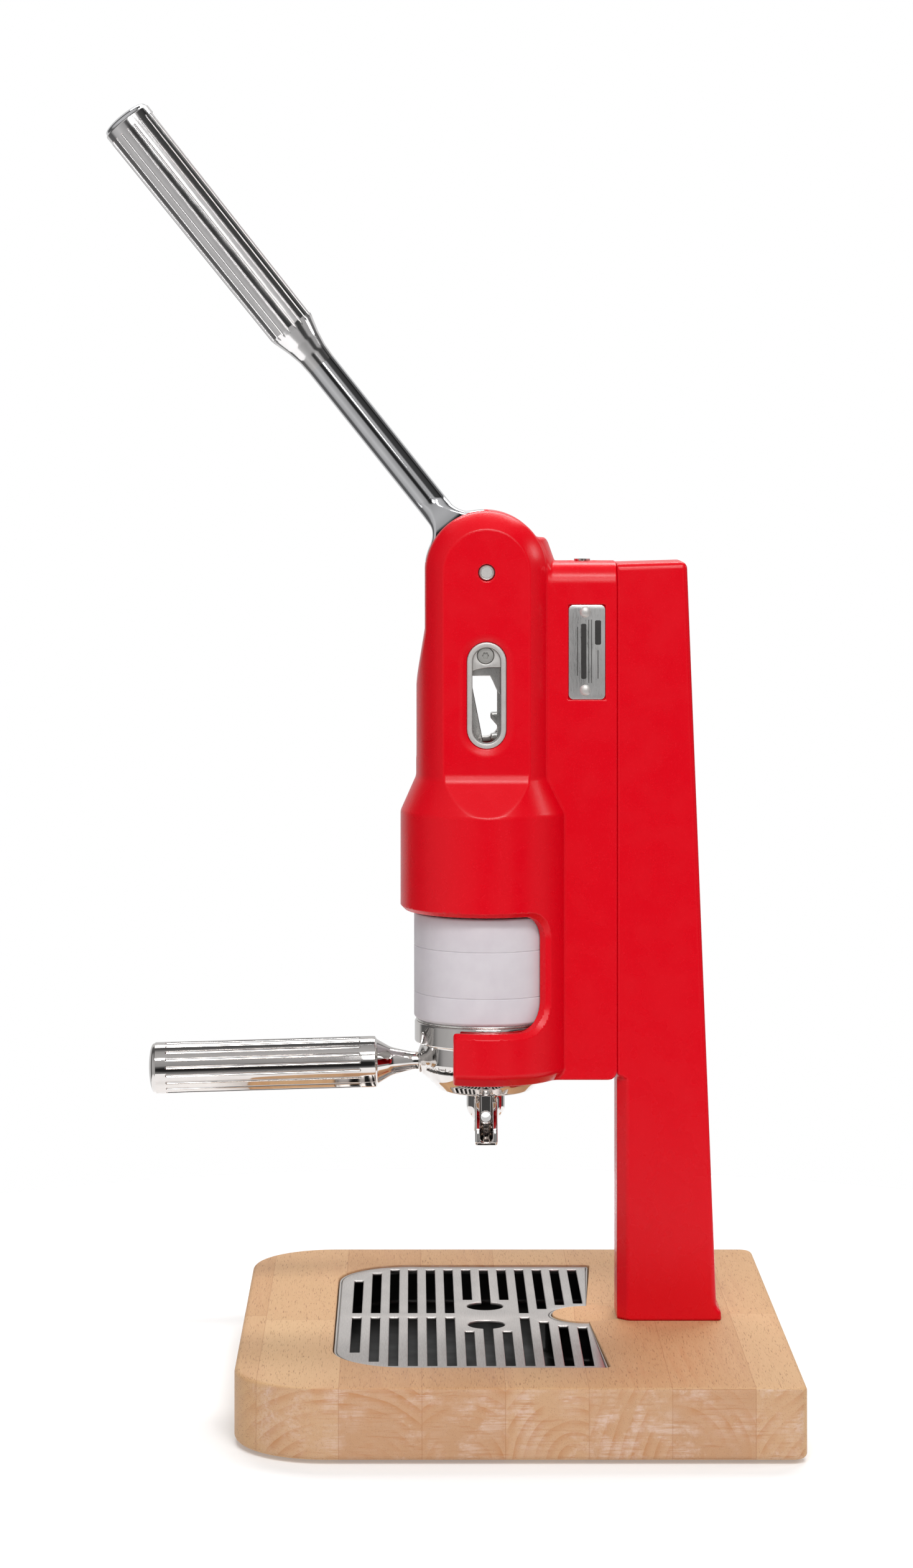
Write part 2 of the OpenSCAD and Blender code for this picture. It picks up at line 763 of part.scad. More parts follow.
module rack() {
    color(steel) {
        side_profile(rack_half) {
            translate([rack_front, foot_top]) square([rack_rear - rack_front,
                                                      rack_top - foot_top - 2]);
            translate([rack_front + 2, rack_top - 3]) square([rack_rear - rack_front - 4, 3]);
            for (i = [0:tooth_count - 1]) {
                z = top_tooth - i * tooth_pitch;
                polygon(tooth(rack_rear, 1, z));
                polygon(tooth(rack_front, -1, z));
            }
        }
    }
}

module rack_guide() {
    color(bronze) difference() {
        translate([rack_front + 1, -8.5, shoulder + 16]) cube([cavity_x - rack_front - 1, 17, 16]);
        translate([rack_front - 1, -rack_half - 0.08, shoulder + 15])
            cube([rack_rear + tooth_depth + 0.4 - rack_front + 1, 2 * rack_half + 0.16, 18]);
    }
}

module rack_foot() {
    color(steel) difference() {
        union() {
            translate([0, 0, piston_top]) cylinder(r = 22, h = foot_top - piston_top);
            for (s = [-1, 1]) translate([spring_x, s * spring_y, foot_top - 1])
                cylinder(r = 2.2, h = 4);
        }
        for (a = [110, 180, 250]) rotate([0, 0, a]) translate([15, 0, piston_top - 1])
            cylinder(r = 2 + gap, h = 10);
    }
}

module foot_screws() {
    color(dark_steel) for (a = [110, 180, 250]) rotate([0, 0, a])
        translate([15, 0, foot_top]) difference() {
            union() {
                cylinder(r = 3.5, h = 3);
                translate([0, 0, -14]) cylinder(r = 2, h = 15);
            }
            translate([0, 0, 1]) cylinder(r = 1.7, h = 3, $fn = 6);
        }
}

module piston() {
    color(steel) difference() {
        translate([0, 0, piston_bottom]) {
            cylinder(r1 = piston_radius - 1, r2 = piston_radius, h = 1);
            translate([0, 0, 1]) cylinder(r = piston_radius, h = piston_top - piston_bottom - 1);
        }
        for (h = seal_heights) tube(piston_radius + 2, piston_radius - 2.4,
                                    piston_bottom + h, piston_bottom + h + 3.2);
        for (a = [110, 180, 250]) rotate([0, 0, a]) translate([15, 0, piston_top - 9])
            cylinder(r = 2 + gap, h = 20);
    }
}

module piston_seals() {
    color(black) for (h = seal_heights) tube(piston_radius + 0.22, piston_radius - 2.4 + gap,
        piston_bottom + h + gap, piston_bottom + h + 3.2 - gap);
}

// The two extension springs, as the space that their coils fill
module return_springs() {
    color(dark_steel) for (s = [-1, 1]) translate([spring_x, s * spring_y, 0])
        tube(3.4, 2.4, foot_top + 0.4, hanger_z - 2.3);
}

module spring_hanger() {
    color(dark_steel) cross_bar(spring_x, hanger_z, 2, -cavity_y - 2.5, cavity_y + 2.5);
}

// ---- Portafilter and cup ----

// Turns the axis of what it holds from +Z to the axis of the portafilter's handle
module along_handle() {
    translate([handle_x, 0, handle_z]) rotate([0, -90 - handle_tilt, 0]) children();
}

module cup_sleeve() {
    foot = 1.2;
    inner = cup_radius - 3.7;
    color(frost) rotate_extrude() polygon([
        [inner, rim_top], [cup_radius - foot, rim_top], [cup_radius, rim_top + foot],
        [cup_radius, rim_top + 13], [cup_radius - 0.4, rim_top + 13.3],
        [cup_radius, rim_top + 13.6], [cup_radius, rim_top + 35.6],
        [cup_radius - 0.4, rim_top + 35.9], [cup_radius, rim_top + 36.2],
        [cup_radius, cup_top - 0.8], [cup_radius - 0.8, cup_top], [inner, cup_top]
    ]);
}

module cup_liner() {
    color(steel) tube(cup_radius - 3.8, piston_radius + 0.3, rim_top + 1.4, cup_top);
}

module cup_seal() {
    color(black) tube(cup_radius - 4, piston_radius + 0.5, rim_top, rim_top + 1.4);
}

module filter_basket() {
    wall = 1;
    color(steel) difference() {
        union() {
            translate([0, 0, basket_bottom]) cylinder(r = basket_radius + wall,
                                                      h = rim_top - basket_bottom);
            translate([0, 0, flange_top]) cylinder(r = flange_radius - 0.7, h = 1.2);
        }
        translate([0, 0, basket_bottom + wall]) cylinder(r = basket_radius, h = 40);
    }
}

module basket_spring() {
    color(dark_steel) translate([0, 0, flange_top - 6]) rotate_extrude()
        translate([basket_radius + 1.55, 0]) circle(r = 0.45, $fn = 24);
}

module portafilter_body() {
    inner = basket_radius + 1.2;
    bottom = body_bottom;
    color(chrome) difference() {
        union() {
            rotate_extrude() polygon([
                [0, bottom], [body_radius - 9.3, bottom], [body_radius - 1.5, bottom + 7.5],
                [body_radius, bottom + 10], [body_radius, flange_bottom],
                [flange_radius, flange_bottom], [flange_radius, flange_top - 0.6],
                [flange_radius - 0.6, flange_top], [0, flange_top]
            ]);
            along_handle() translate([0, 0, -9]) cylinder(r1 = 9.5, r2 = 5.2, h = 9);
        }
        translate([0, 0, basket_bottom - 0.3]) cylinder(r = inner, h = 40);
        translate([0, 0, bottom + 3.5]) cylinder(r1 = 6, r2 = 27, h = basket_bottom - bottom - 3.7);
        translate([0, 0, bottom - 1]) cylinder(r = 4.5, h = 12);
        translate([0, 0, flange_top - 6.7]) cylinder(r = inner + 0.9, h = 1.4);
        along_handle() translate([0, 0, -0.5]) cylinder(r = 3 + gap, h = 10);
    }
}

module handle_stud() {
    color(steel) along_handle() cylinder(r = 3, h = handle_end - 20);
}

module handle_collar() {
    color(chrome) along_handle() tube(5.8, 3 + gap, 0.35, 2);
}

module handle_grip() {
    r = grip_radius - 0.3;
    color(chrome) along_handle() difference() {
        rotate_extrude() polygon([
            [3 + gap, 2.05], [4.2, 2.05], [4.2, grip_shoulder - 19.5],
            [5.3, grip_shoulder - 13.7], [7.1, grip_shoulder - 8.5], [9.6, grip_shoulder - 3.7],
            [r - 0.3, grip_shoulder], [r, grip_shoulder + 0.6], [r, handle_end],
            [3 + gap, handle_end]
        ]);
        flute_cuts(r + 0.1, r + 0.1, grip_shoulder + 5.5, handle_end - 5.5);
    }
}

module handle_cap() {
    r = grip_radius - 0.3;
    rise = 3;
    sphere_radius = (r * r + rise * rise) / (2 * rise);
    color(chrome) along_handle() {
        intersection() {
            translate([0, 0, handle_end + rise - sphere_radius]) sphere(r = sphere_radius);
            translate([0, 0, handle_end]) cylinder(r = r, h = rise + 1);
        }
        translate([0, 0, handle_end - 8]) cylinder(r = 3, h = 9);
    }
}

// Side view of one spout: a short trough that curves down and out
module spout_side(floor_z) {
    tip = spout_z - 11.8;
    polygon([[0, floor_z], [6, floor_z - 1.5], [11, tip + 5.5], [16, tip + 2.5], [19, tip],
             [21, tip + 2], [19.5, tip + 7], [15.5, tip + 13], [11.5, spout_z + 8],
             [9.5, spout_z + 10.2], [0, spout_z + 10.2]]);
}

module twin_spout() {
    half = 5.5;
    channel = 3;
    block_radius = 9.4;
    block_centre = spout_z + 5.6;
    color(chrome) difference() {
        union() {
            translate([0, 0, block_centre]) rotate_extrude() {
                square([block_radius, body_bottom - 0.05 - block_centre]);
                intersection() {
                    circle(r = block_radius);
                    translate([0, -block_radius]) square(block_radius);
                }
            }
            both_sides() intersection() {
                front_profile(-half, half) spout_side(spout_z - 3.8);
                translate([-half, 0, 0]) cube([2 * half, 40, 200]);
            }
        }
        both_sides() front_profile(-channel, channel) polygon([
            [6.5, spout_z - 3.5], [11, spout_z - 4.7], [16, spout_z - 8], [19.5, spout_z - 11],
            [30, spout_z - 11], [30, spout_z + 20], [6.5, spout_z + 20]
        ]);
        cross_bar(0, spout_z, 2.5, -reach, reach);
        translate([0, 0, spout_z]) cylinder(r = 3.5, h = 30);
    }
}

board();
feet();
base_plate();
base_screws();
drip_tray();
drip_grille();
column();
column_bolts();
housing();
window_sleeves();
window_plates();
window_blocks();
window_screws();
tie_bar();
nameplate();
nameplate_rivets();
top_screw();
pivot_pin();
thrust_washers();
pivot_bushes();
lever_hub();
lever_rod();
lever_grip();
lever_cap();
crank_pin();
drive_pawl();
holding_pawl();
pawl_pin();
rack();
rack_guide();
rack_foot();
foot_screws();
piston();
piston_seals();
return_springs();
spring_hanger();
cup_sleeve();
cup_liner();
cup_seal();
filter_basket();
basket_spring();
portafilter_body();
handle_stud();
handle_collar();
handle_grip();
handle_cap();
twin_spout();
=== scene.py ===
"""Looks of the lever espresso press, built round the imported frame.

Lengths are millimetres in the frame's own axes: X runs from the handles to the column, Z is up,
and the piston's axis is X = 0, Y = 0. add_mesh() turns them into metres.
"""
import json
import math

import bmesh
import bpy
import numpy as np
from mathutils import Matrix, Vector


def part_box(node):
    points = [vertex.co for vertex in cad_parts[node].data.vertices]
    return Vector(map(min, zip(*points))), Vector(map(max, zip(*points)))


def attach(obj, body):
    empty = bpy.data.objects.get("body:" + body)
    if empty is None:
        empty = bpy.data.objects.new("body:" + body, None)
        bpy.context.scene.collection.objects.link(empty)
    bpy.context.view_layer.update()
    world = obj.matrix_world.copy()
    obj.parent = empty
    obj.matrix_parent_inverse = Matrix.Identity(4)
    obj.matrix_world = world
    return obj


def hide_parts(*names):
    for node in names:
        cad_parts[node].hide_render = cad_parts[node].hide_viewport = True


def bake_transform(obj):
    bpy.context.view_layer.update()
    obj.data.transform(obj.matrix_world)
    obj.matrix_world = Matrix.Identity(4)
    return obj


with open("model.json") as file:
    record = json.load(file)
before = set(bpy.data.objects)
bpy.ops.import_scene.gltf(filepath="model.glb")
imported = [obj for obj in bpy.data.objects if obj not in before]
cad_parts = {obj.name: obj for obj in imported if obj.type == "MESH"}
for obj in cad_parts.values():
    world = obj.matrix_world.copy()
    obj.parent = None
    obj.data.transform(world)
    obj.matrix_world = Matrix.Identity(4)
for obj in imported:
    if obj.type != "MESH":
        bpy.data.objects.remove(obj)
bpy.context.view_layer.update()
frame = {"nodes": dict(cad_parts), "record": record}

MM = 0.001


def box(node):
    """Lowest and highest corners of a CAD node at rest, in millimetres."""
    low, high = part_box(node)
    return np.array(low) / MM, np.array(high) / MM


def joint_place(name):
    """Where a joint's axis lies at rest, in millimetres."""
    joint = next(j for j in frame["record"]["behaviour"]["joints"] if j["name"] == name)
    return np.array(joint["pos_m"]) / MM


# ---- Places taken from the frame ----

HOUSING_LOW, HOUSING_HIGH = box("housing")
COLUMN_LOW, COLUMN_HIGH = box("column")
BOARD_LOW, BOARD_HIGH = box("board")
TRAY_LOW, TRAY_HIGH = box("drip_tray")
GRILLE_LOW, GRILLE_HIGH = box("drip_grille")
CUP_LOW, CUP_HIGH = box("cup_sleeve")
LINER_LOW = box("cup_liner")[0]
BASKET_LOW = box("filter_basket")[0]
FILTER_LOW, FILTER_HIGH = box("portafilter_body")
SPOUT_LOW, SPOUT_HIGH = box("twin_spout")
SLEEVE_LOW, SLEEVE_HIGH = box("window_sleeves")
SPRING_LOW, SPRING_HIGH = box("return_springs")
PLATE_LOW, PLATE_HIGH = box("nameplate")
PIVOT = joint_place("lever_pivot")
CRANK = joint_place("drive_pawl_hinge")

PIVOT_Z = PIVOT[2]
BOTTOM = HOUSING_LOW[2]
BLOCK_REAR = HOUSING_HIGH[0]
BIG_RADIUS = HOUSING_HIGH[1]
ARM_TOP = BOTTOM + 25.9
FLANGE_FLOOR = BOTTOM + 16.8
BAY_TOP = ARM_TOP + 56.1
SHOULDER = BOTTOM + 130.5
NECK_START = SHOULDER + 17.3
BLOCK_TOP = PIVOT_Z + 5
WINDOW_Z = (SLEEVE_LOW[2] + SLEEVE_HIGH[2]) / 2
LEVER_ANGLE = math.radians(38.6)
LEVER_LENGTH = 287.4
GRIP_START = 154
TRUMPET_START = 130


# ---- Signed distances: negative inside, in millimetres ----

def stadium(a, b, width, height):
    """An upright slot with round ends, width across a and height along b."""
    return np.hypot(a, np.maximum(np.abs(b) - (height - width) / 2, 0)) - width / 2


def round_max(a, b, r):
    """Intersection of two shapes whose common edge is rounded."""
    return np.minimum(-r, np.maximum(a, b)) + np.hypot(np.maximum(r + a, 0), np.maximum(r + b, 0))


def round_min(a, b, r):
    """Union of two shapes with a fillet between them."""
    return np.maximum(r, np.minimum(a, b)) - np.hypot(np.maximum(r - a, 0), np.maximum(r - b, 0))


def cut(a, b, r=0.6):
    """Shape a without shape b, with a rounded edge."""
    return round_max(a, -b, r)


def chamfer_cut(a, b, size):
    """Shape a without shape b, with a flat chamfer on the edge."""
    return np.maximum(np.maximum(a, -b), (a - b + size) * math.sqrt(0.5))


def slab(a, low, high):
    return np.maximum(low - a, a - high)


def leaning(a, b, run, rise):
    """Distance from a slope through a = 0, b = 0 whose a shrinks by run while b grows by rise."""
    return (a * rise + b * run) / math.hypot(run, rise)


def smooth_step(t):
    t = np.clip(t, 0, 1)
    return t * t * (3 - 2 * t)


# ---- Meshes ----

def surface_nets(f, low, high, step):
    """Vertices and quads of the surface where f is 0, from a regular grid."""
    axes = [np.arange(low[i] - 2 * step, high[i] + 3 * step, step, dtype=np.float32)
            for i in range(3)]
    shape = tuple(len(a) for a in axes)
    x, y, z = np.meshgrid(*axes, indexing="ij", sparse=True)
    d = np.array(np.broadcast_to(f(x, y, z), shape), dtype=np.float32)
    inside = d < 0
    corners = [(i, j, k) for i in (0, 1) for j in (0, 1) for k in (0, 1)]

    def corner(grid, c):
        return grid[tuple(slice(c[i], shape[i] - 1 + c[i]) for i in range(3))]

    count = sum(corner(inside, c).astype(np.int8) for c in corners)
    cells = np.argwhere((count > 0) & (count < 8))
    number = np.full([n - 1 for n in shape], -1, dtype=np.int64)
    number[tuple(cells.T)] = np.arange(len(cells))

    total = np.zeros((len(cells), 3))
    hits = np.zeros(len(cells))
    for a in corners:
        for axis in range(3):
            if a[axis]:
                continue
            b = tuple(1 if i == axis else a[i] for i in range(3))
            da = d[tuple((cells + a).T)]
            db = d[tuple((cells + b).T)]
            crossed = (da < 0) != (db < 0)
            t = np.where(crossed, da / np.where(crossed, da - db, 1), 0)
            point = np.array(a, float)[None, :].repeat(len(cells), 0)
            point[:, axis] += t
            total += point * crossed[:, None]
            hits += crossed
    origin = np.array([a[0] for a in axes], float)
    points = origin + (cells + total / hits[:, None]) * step

    quads = []
    for axis in range(3):
        u, v = (axis + 1) % 3, (axis + 2) % 3
        first = np.take(inside, range(shape[axis] - 1), axis)
        second = np.take(inside, range(1, shape[axis]), axis)
        for flip, crossed in ((False, first & ~second), (True, second & ~first)):
            edge = np.argwhere(crossed)
            edge = edge[(edge[:, u] > 0) & (edge[:, v] > 0)]
            ring = []
            for du, dv in ((1, 1), (0, 1), (0, 0), (1, 0)):
                cell = edge.copy()
                cell[:, u] -= du
                cell[:, v] -= dv
                ring.append(number[tuple(cell.T)])
            quad = np.stack(ring, 1)
            quads.append(quad[:, ::-1] if flip else quad)
    return points, np.concatenate(quads)


def gradient(f, p, h=0.05):
    out = np.zeros_like(p)
    for axis in range(3):
        shift = np.zeros(3)
        shift[axis] = h
        out[:, axis] = f(*(p + shift).T) - f(*(p - shift).T)
    return out / (2 * h)


def relax(points, quads):
    """Each point moves halfway to the middle of its neighbours."""
    total = np.zeros_like(points)
    hits = np.zeros(len(points))
    for a, b in ((0, 1), (1, 2), (2, 3), (3, 0)):
        for s, t in ((a, b), (b, a)):
            np.add.at(total, quads[:, s], points[quads[:, t]])
            np.add.at(hits, quads[:, s], 1)
    return (points + total / hits[:, None]) / 2


def solid(name, f, low, high, step, material):
    """A mesh object of the solid where f is negative. Its normals come from f itself."""
    points, quads = surface_nets(f, low, high, step)
    for turn in range(4):
        if turn in (1, 2):
            points = relax(points, quads)
        slope = gradient(f, points)
        steepness = np.maximum((slope ** 2).sum(1), 0.05)
        shift = -slope * (f(*points.T) / steepness)[:, None]
        points = points + np.clip(shift, -step, step)
    slope = gradient(f, points, 0.12)
    normals = slope / np.maximum(np.linalg.norm(slope, axis=1), 1e-6)[:, None]
    obj = add_mesh(name, points, quads, material)
    obj.data.normals_split_custom_set_from_vertices(normals.tolist())
    return obj


def add_object(name, mesh, material, sharp=None):
    """A smooth object at the origin. Edges that turn by more than sharp degrees stay sharp."""
    mesh.polygons.foreach_set("use_smooth", [True] * len(mesh.polygons))
    if sharp:
        mesh.set_sharp_from_angle(angle=math.radians(sharp))
    mesh.materials.append(material)
    obj = bpy.data.objects.new(name, mesh)
    bpy.context.collection.objects.link(obj)
    return obj


def add_mesh(name, points, faces, material, sharp=None):
    """An object from points in millimetres."""
    mesh = bpy.data.meshes.new(name)
    if isinstance(faces, np.ndarray):
        faces = faces.tolist()
    mesh.from_pydata((np.asarray(points, float) * MM).tolist(), [], faces)
    mesh.update()
    return add_object(name, mesh, material, sharp)


def place(obj, body, slot, *nodes):
    """The piece rides on a body and stands for CAD nodes, which are hidden. slot is not used."""
    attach(obj, body)
    if nodes:
        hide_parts(*nodes)
    return obj


def fillet(points, radius, steps=4, closed=False):
    """Rounds the corners of a path of points with 2 or 3 numbers. radius is one number, or one
    for each point."""
    count = len(points)
    radii = radius if hasattr(radius, "__len__") else [radius] * count
    out = []
    for i, p in enumerate(points):
        p = np.array(p, float)
        if not closed and i in (0, count - 1) or not radii[i]:
            out.append(p)
            continue
        a = np.array(points[i - 1], float) - p
        b = np.array(points[(i + 1) % count], float) - p
        la, lb = np.linalg.norm(a), np.linalg.norm(b)
        a, b = a / la, b / lb
        half = math.acos(np.clip(a @ b, -1, 1)) / 2
        if half > math.radians(88):
            out.append(p)
            continue
        back = min(radii[i] / math.tan(half), 0.45 * la, 0.45 * lb)
        r = back * math.tan(half)
        middle = (a + b) / np.linalg.norm(a + b)
        centre = p + middle * (r / math.sin(half))
        start, end = p + a * back - centre, p + b * back - centre
        for s in range(steps + 1):
            mix = start + (end - start) * s / steps
            out.append(centre + mix / np.linalg.norm(mix) * r)
    return out


def lathe(name, profile, material, matrix=None, segments=128, closed=False, sharp=35):
    """Turns a path of (radius, height) round Z. A closed path makes a ring."""
    points, rings = [], []
    angles = np.linspace(0, 2 * math.pi, segments, endpoint=False)
    for r, z in profile:
        if r < 1e-6:
            rings.append([len(points)] * segments)
            points.append((0, 0, z))
        else:
            rings.append(list(range(len(points), len(points) + segments)))
            points += [(r * math.cos(a), r * math.sin(a), z) for a in angles]
    faces = []
    pairs = list(zip(rings, rings[1:])) + ([(rings[-1], rings[0])] if closed else [])
    for low, high in pairs:
        for i in range(segments):
            j = (i + 1) % segments
            face = [low[i], low[j], high[j], high[i]]
            face = [v for k, v in enumerate(face) if v != face[k - 1]]
            if len(face) > 2:
                faces.append(face)
    if matrix is not None:
        points = [matrix @ Vector(p) for p in points]
    return add_mesh(name, points, faces, material, sharp)


def arc(centre, radius, start, end, steps):
    """Points along an arc, with angles in degrees."""
    turns = np.radians(np.linspace(start, end, steps + 1))
    return [(centre[0] + radius * math.cos(t), centre[1] + radius * math.sin(t)) for t in turns]


def quarter(steps):
    """Angles from 0 to a right angle."""
    return [math.pi / 2 * k / steps for k in range(steps + 1)]


def rounded_edge(low, high, bevel, steps=3):
    """(inset, height) pairs from low to high, with both edges rounded."""
    down = [(bevel * (1 - math.sin(t)), low + bevel * (1 - math.cos(t))) for t in quarter(steps)]
    return down + [(inset, high + low - z) for inset, z in reversed(down)]


def loops_mesh(name, walls, fills, material, matrix=None, sharp=35):
    """Walls are stacks of closed loops, each loop a list of 3-D points. Each fill lists the
    (wall, loop) pairs that bound one flat face, the outline first and its holes after it."""
    bm = bmesh.new()
    made = []
    matrix = matrix or Matrix.Identity(4)
    for wall in walls:
        rings = [[bm.verts.new(matrix @ Vector(p)) for p in loop] for loop in wall]
        for low, high in zip(rings, rings[1:]):
            n = len(low)
            for i in range(n):
                bm.faces.new((low[i], low[(i + 1) % n], high[(i + 1) % n], high[i]))
        made.append(rings)
    for fill in fills:
        edges = []
        for wall, loop in fill:
            ring = made[wall][loop]
            for i, vert in enumerate(ring):
                other = ring[(i + 1) % len(ring)]
                edges.append(bm.edges.get((vert, other)) or bm.edges.new((vert, other)))
        bmesh.ops.triangle_fill(bm, use_beauty=True, use_dissolve=False, edges=edges)
    bmesh.ops.recalc_face_normals(bm, faces=bm.faces)
    mesh = bpy.data.meshes.new(name)
    bm.to_mesh(mesh)
    bm.free()
    mesh.transform(Matrix.Scale(MM, 4))
    return add_object(name, mesh, material, sharp)


def plate(name, outline, holes, low, high, bevel, material, matrix=None):
    """A flat plate with rounded edges. outline and holes give their points for an inset."""
    edge = rounded_edge(low, high, bevel)
    walls = [[[(x, y, z) for x, y in shape(inset)] for inset, z in edge]
             for shape in [outline] + holes]
    fills = [[(w, k) for w in range(len(walls))] for k in (0, len(edge) - 1)]
    return loops_mesh(name, walls, fills, material, matrix)


# ---- Materials ----

class Graph:
    """Nodes of a material or a world. A value is a number, a colour or another node's output."""

    def __init__(self, owner):
        owner.use_nodes = True
        self.owner = owner
        self.tree = owner.node_tree

    def feed(self, made, values):
        for key, value in values.items():
            if isinstance(value, bpy.types.NodeSocket):
                self.tree.links.new(value, made.inputs[key])
            else:
                made.inputs[key].default_value = value

    def add(self, kind, values, out=0, **settings):
        made = self.tree.nodes.new("ShaderNode" + kind)
        for key, value in settings.items():
            setattr(made, key, value)
        self.feed(made, values)
        return made.outputs[out]

    def math(self, operation, a, b=0.0, c=0.0):
        return self.add("Math", {0: a, 1: b, 2: c}, operation=operation)

    def plus(self, a, b):
        return self.math("ADD", a, b)

    def minus(self, a, b):
        return self.math("SUBTRACT", a, b)

    def times(self, a, b):
        return self.math("MULTIPLY", a, b)

    def scaled(self, a, b, c):
        """a times b, plus c."""
        return self.math("MULTIPLY_ADD", a, b, c)

    def spread(self, value, low, high, a=0.0, b=1.0):
        """Takes value from low..high to a..b, and keeps it there."""
        return self.add("MapRange", {"Value": value, "From Min": low, "From Max": high,
                                     "To Min": a, "To Max": b})

    def mix(self, share, a, b):
        return self.add("Mix", {0: share, 6: a, 7: b}, 2, data_type="RGBA")

    def axes(self, vector):
        return [self.add("SeparateXYZ", {0: vector}, axis) for axis in "XYZ"]

    def ramp(self, value, stops):
        """A grey that follows value, from -1 to 1, through stops of (value, brightness)."""
        node = self.tree.nodes.new("ShaderNodeValToRGB")
        self.feed(node, {0: self.spread(value, -1, 1)})
        elements = node.color_ramp.elements
        while len(elements) < len(stops):
            elements.new(0.5)
        for element, (spot, grey) in zip(elements, stops):
            element.position = (spot + 1) / 2
            element.color = (grey, grey, grey, 1)
        return node.outputs[0]


class Surface(Graph):
    """A material. Its values are those of the Principled shader, with _ for a space."""

    def __init__(self, name, **values):
        super().__init__(bpy.data.materials.new(name))
        self.place = self.add("TexCoord", {}, "Object")
        self.finish(**values)

    def noise(self, size, detail=2.0, stretch=(1, 1, 1), roughness=0.5):
        """Noise from 0 to 1 whose features are about size millimetres, stretched along axes."""
        scale = [1 / (size * MM * s) for s in stretch]
        spot = self.add("Mapping", {"Vector": self.place, "Scale": scale})
        return self.add("TexNoise", {"Vector": spot, "Scale": 1.0, "Detail": detail,
                                     "Roughness": roughness})

    def bump(self, height, depth):
        """A bump whose full height is depth millimetres."""
        return self.add("Bump", {"Height": height, "Distance": depth * MM, "Strength": 1.0})

    def finish(self, **values):
        """Feeds the shader, and gives the finished material."""
        self.feed(self.tree.nodes["Principled BSDF"],
                  {key.replace("_", " "): v for key, v in values.items()})
        return self.owner


def srgb(red, green, blue):
    """A colour given as 0 to 255, for a shader."""
    def linear(v):
        v /= 255
        return v / 12.92 if v < 0.04045 else ((v + 0.055) / 1.055) ** 2.4
    return (linear(red), linear(green), linear(blue), 1)


def dimmed(colour, share):
    """The colour with this share of its brightness."""
    return [c * share for c in colour[:3]] + [1]


def powder_coat():
    """Red powder coat: satin, with a fine orange-peel surface. Tiny lighter dots on the peel's high
    points are slight colour variation and partly a painted highlight for its glints.
    """
    g = Surface("red_powder_coat", Specular_IOR_Level=0.26)
    grain = g.noise(0.55, 2)
    wave = g.noise(2.2, 1)
    height = g.scaled(wave, 0.5, grain)
    # partly painted highlight: lighter red where the peel stands highest
    glint_speck = g.spread(grain, 0.60, 0.74)
    colour = g.mix(glint_speck, srgb(218, 0, 22), srgb(232, 24, 42))
    shade = g.spread(g.noise(14, 3), 0.35, 0.65, 0.25, 0.31)
    return g.finish(Base_Color=colour, Roughness=shade, Normal=g.bump(height, 0.03))


def polished(name, colour, rough, smear=0.04, dent=0.004):
    """Polished metal with faint cloudy smears and a very slight waviness."""
    g = Surface(name, Metallic=1.0)
    cloud = g.noise(7, 4, stretch=(1, 1, 2.5))
    fine = g.noise(0.3, 2, stretch=(1, 1, 6))
    base = g.mix(g.spread(cloud, 0.3, 0.7), colour, dimmed(colour, 0.93))
    height = g.scaled(fine, 0.15, cloud)
    return g.finish(Base_Color=base, Roughness=g.spread(cloud, 0.35, 0.75, rough, rough + smear),
                    Normal=g.bump(height, dent))


def brushed(name, colour, rough, stretch):
    """Metal with fine straight brush marks, long in the direction of the larger stretch."""
    g = Surface(name, Metallic=1.0)
    marks = g.noise(0.16, 3, stretch=stretch, roughness=0.7)
    cloud = g.noise(18, 3)
    tone = g.spread(marks, 0.3, 0.7, 0, 0.8)
    base = g.mix(tone, colour, dimmed(colour, 0.72))
    gloss = g.scaled(g.spread(marks, 0.3, 0.7), 0.16,
                     g.spread(cloud, 0.35, 0.65, rough - 0.03, rough + 0.04))
    return g.finish(Base_Color=base, Roughness=gloss, Normal=g.bump(marks, 0.006))


def rubber():
    """Matt black rubber with a fine grain."""
    g = Surface("black_rubber")
    grain = g.noise(0.35, 3)
    base = g.mix(grain, srgb(22, 22, 22), srgb(38, 37, 36))
    return g.finish(Base_Color=base, Roughness=g.spread(grain, 0.3, 0.7, 0.62, 0.8),
                    Normal=g.bump(grain, 0.02))


def frosted_plastic():
    """The cup's milky plastic, with a faint haze and a fine grain."""
    g = Surface("frosted_plastic", Subsurface_Weight=0.35, Subsurface_Scale=0.004,
                Subsurface_Radius=(1.0, 0.95, 1.0), Specular_IOR_Level=0.45)
    haze = g.noise(9, 3)
    grain = g.noise(0.22, 2)
    base = g.mix(g.spread(haze, 0.3, 0.7), srgb(208, 202, 208), srgb(214, 209, 214))
    return g.finish(Base_Color=base, Roughness=g.spread(grain, 0.3, 0.7, 0.36, 0.5),
                    Normal=g.bump(grain, 0.006))


STAVE = 38.0
STAVE_LENGTH = 190.0
STAVE_OFFSET = 0.837
RING_WIDTH = 5.2


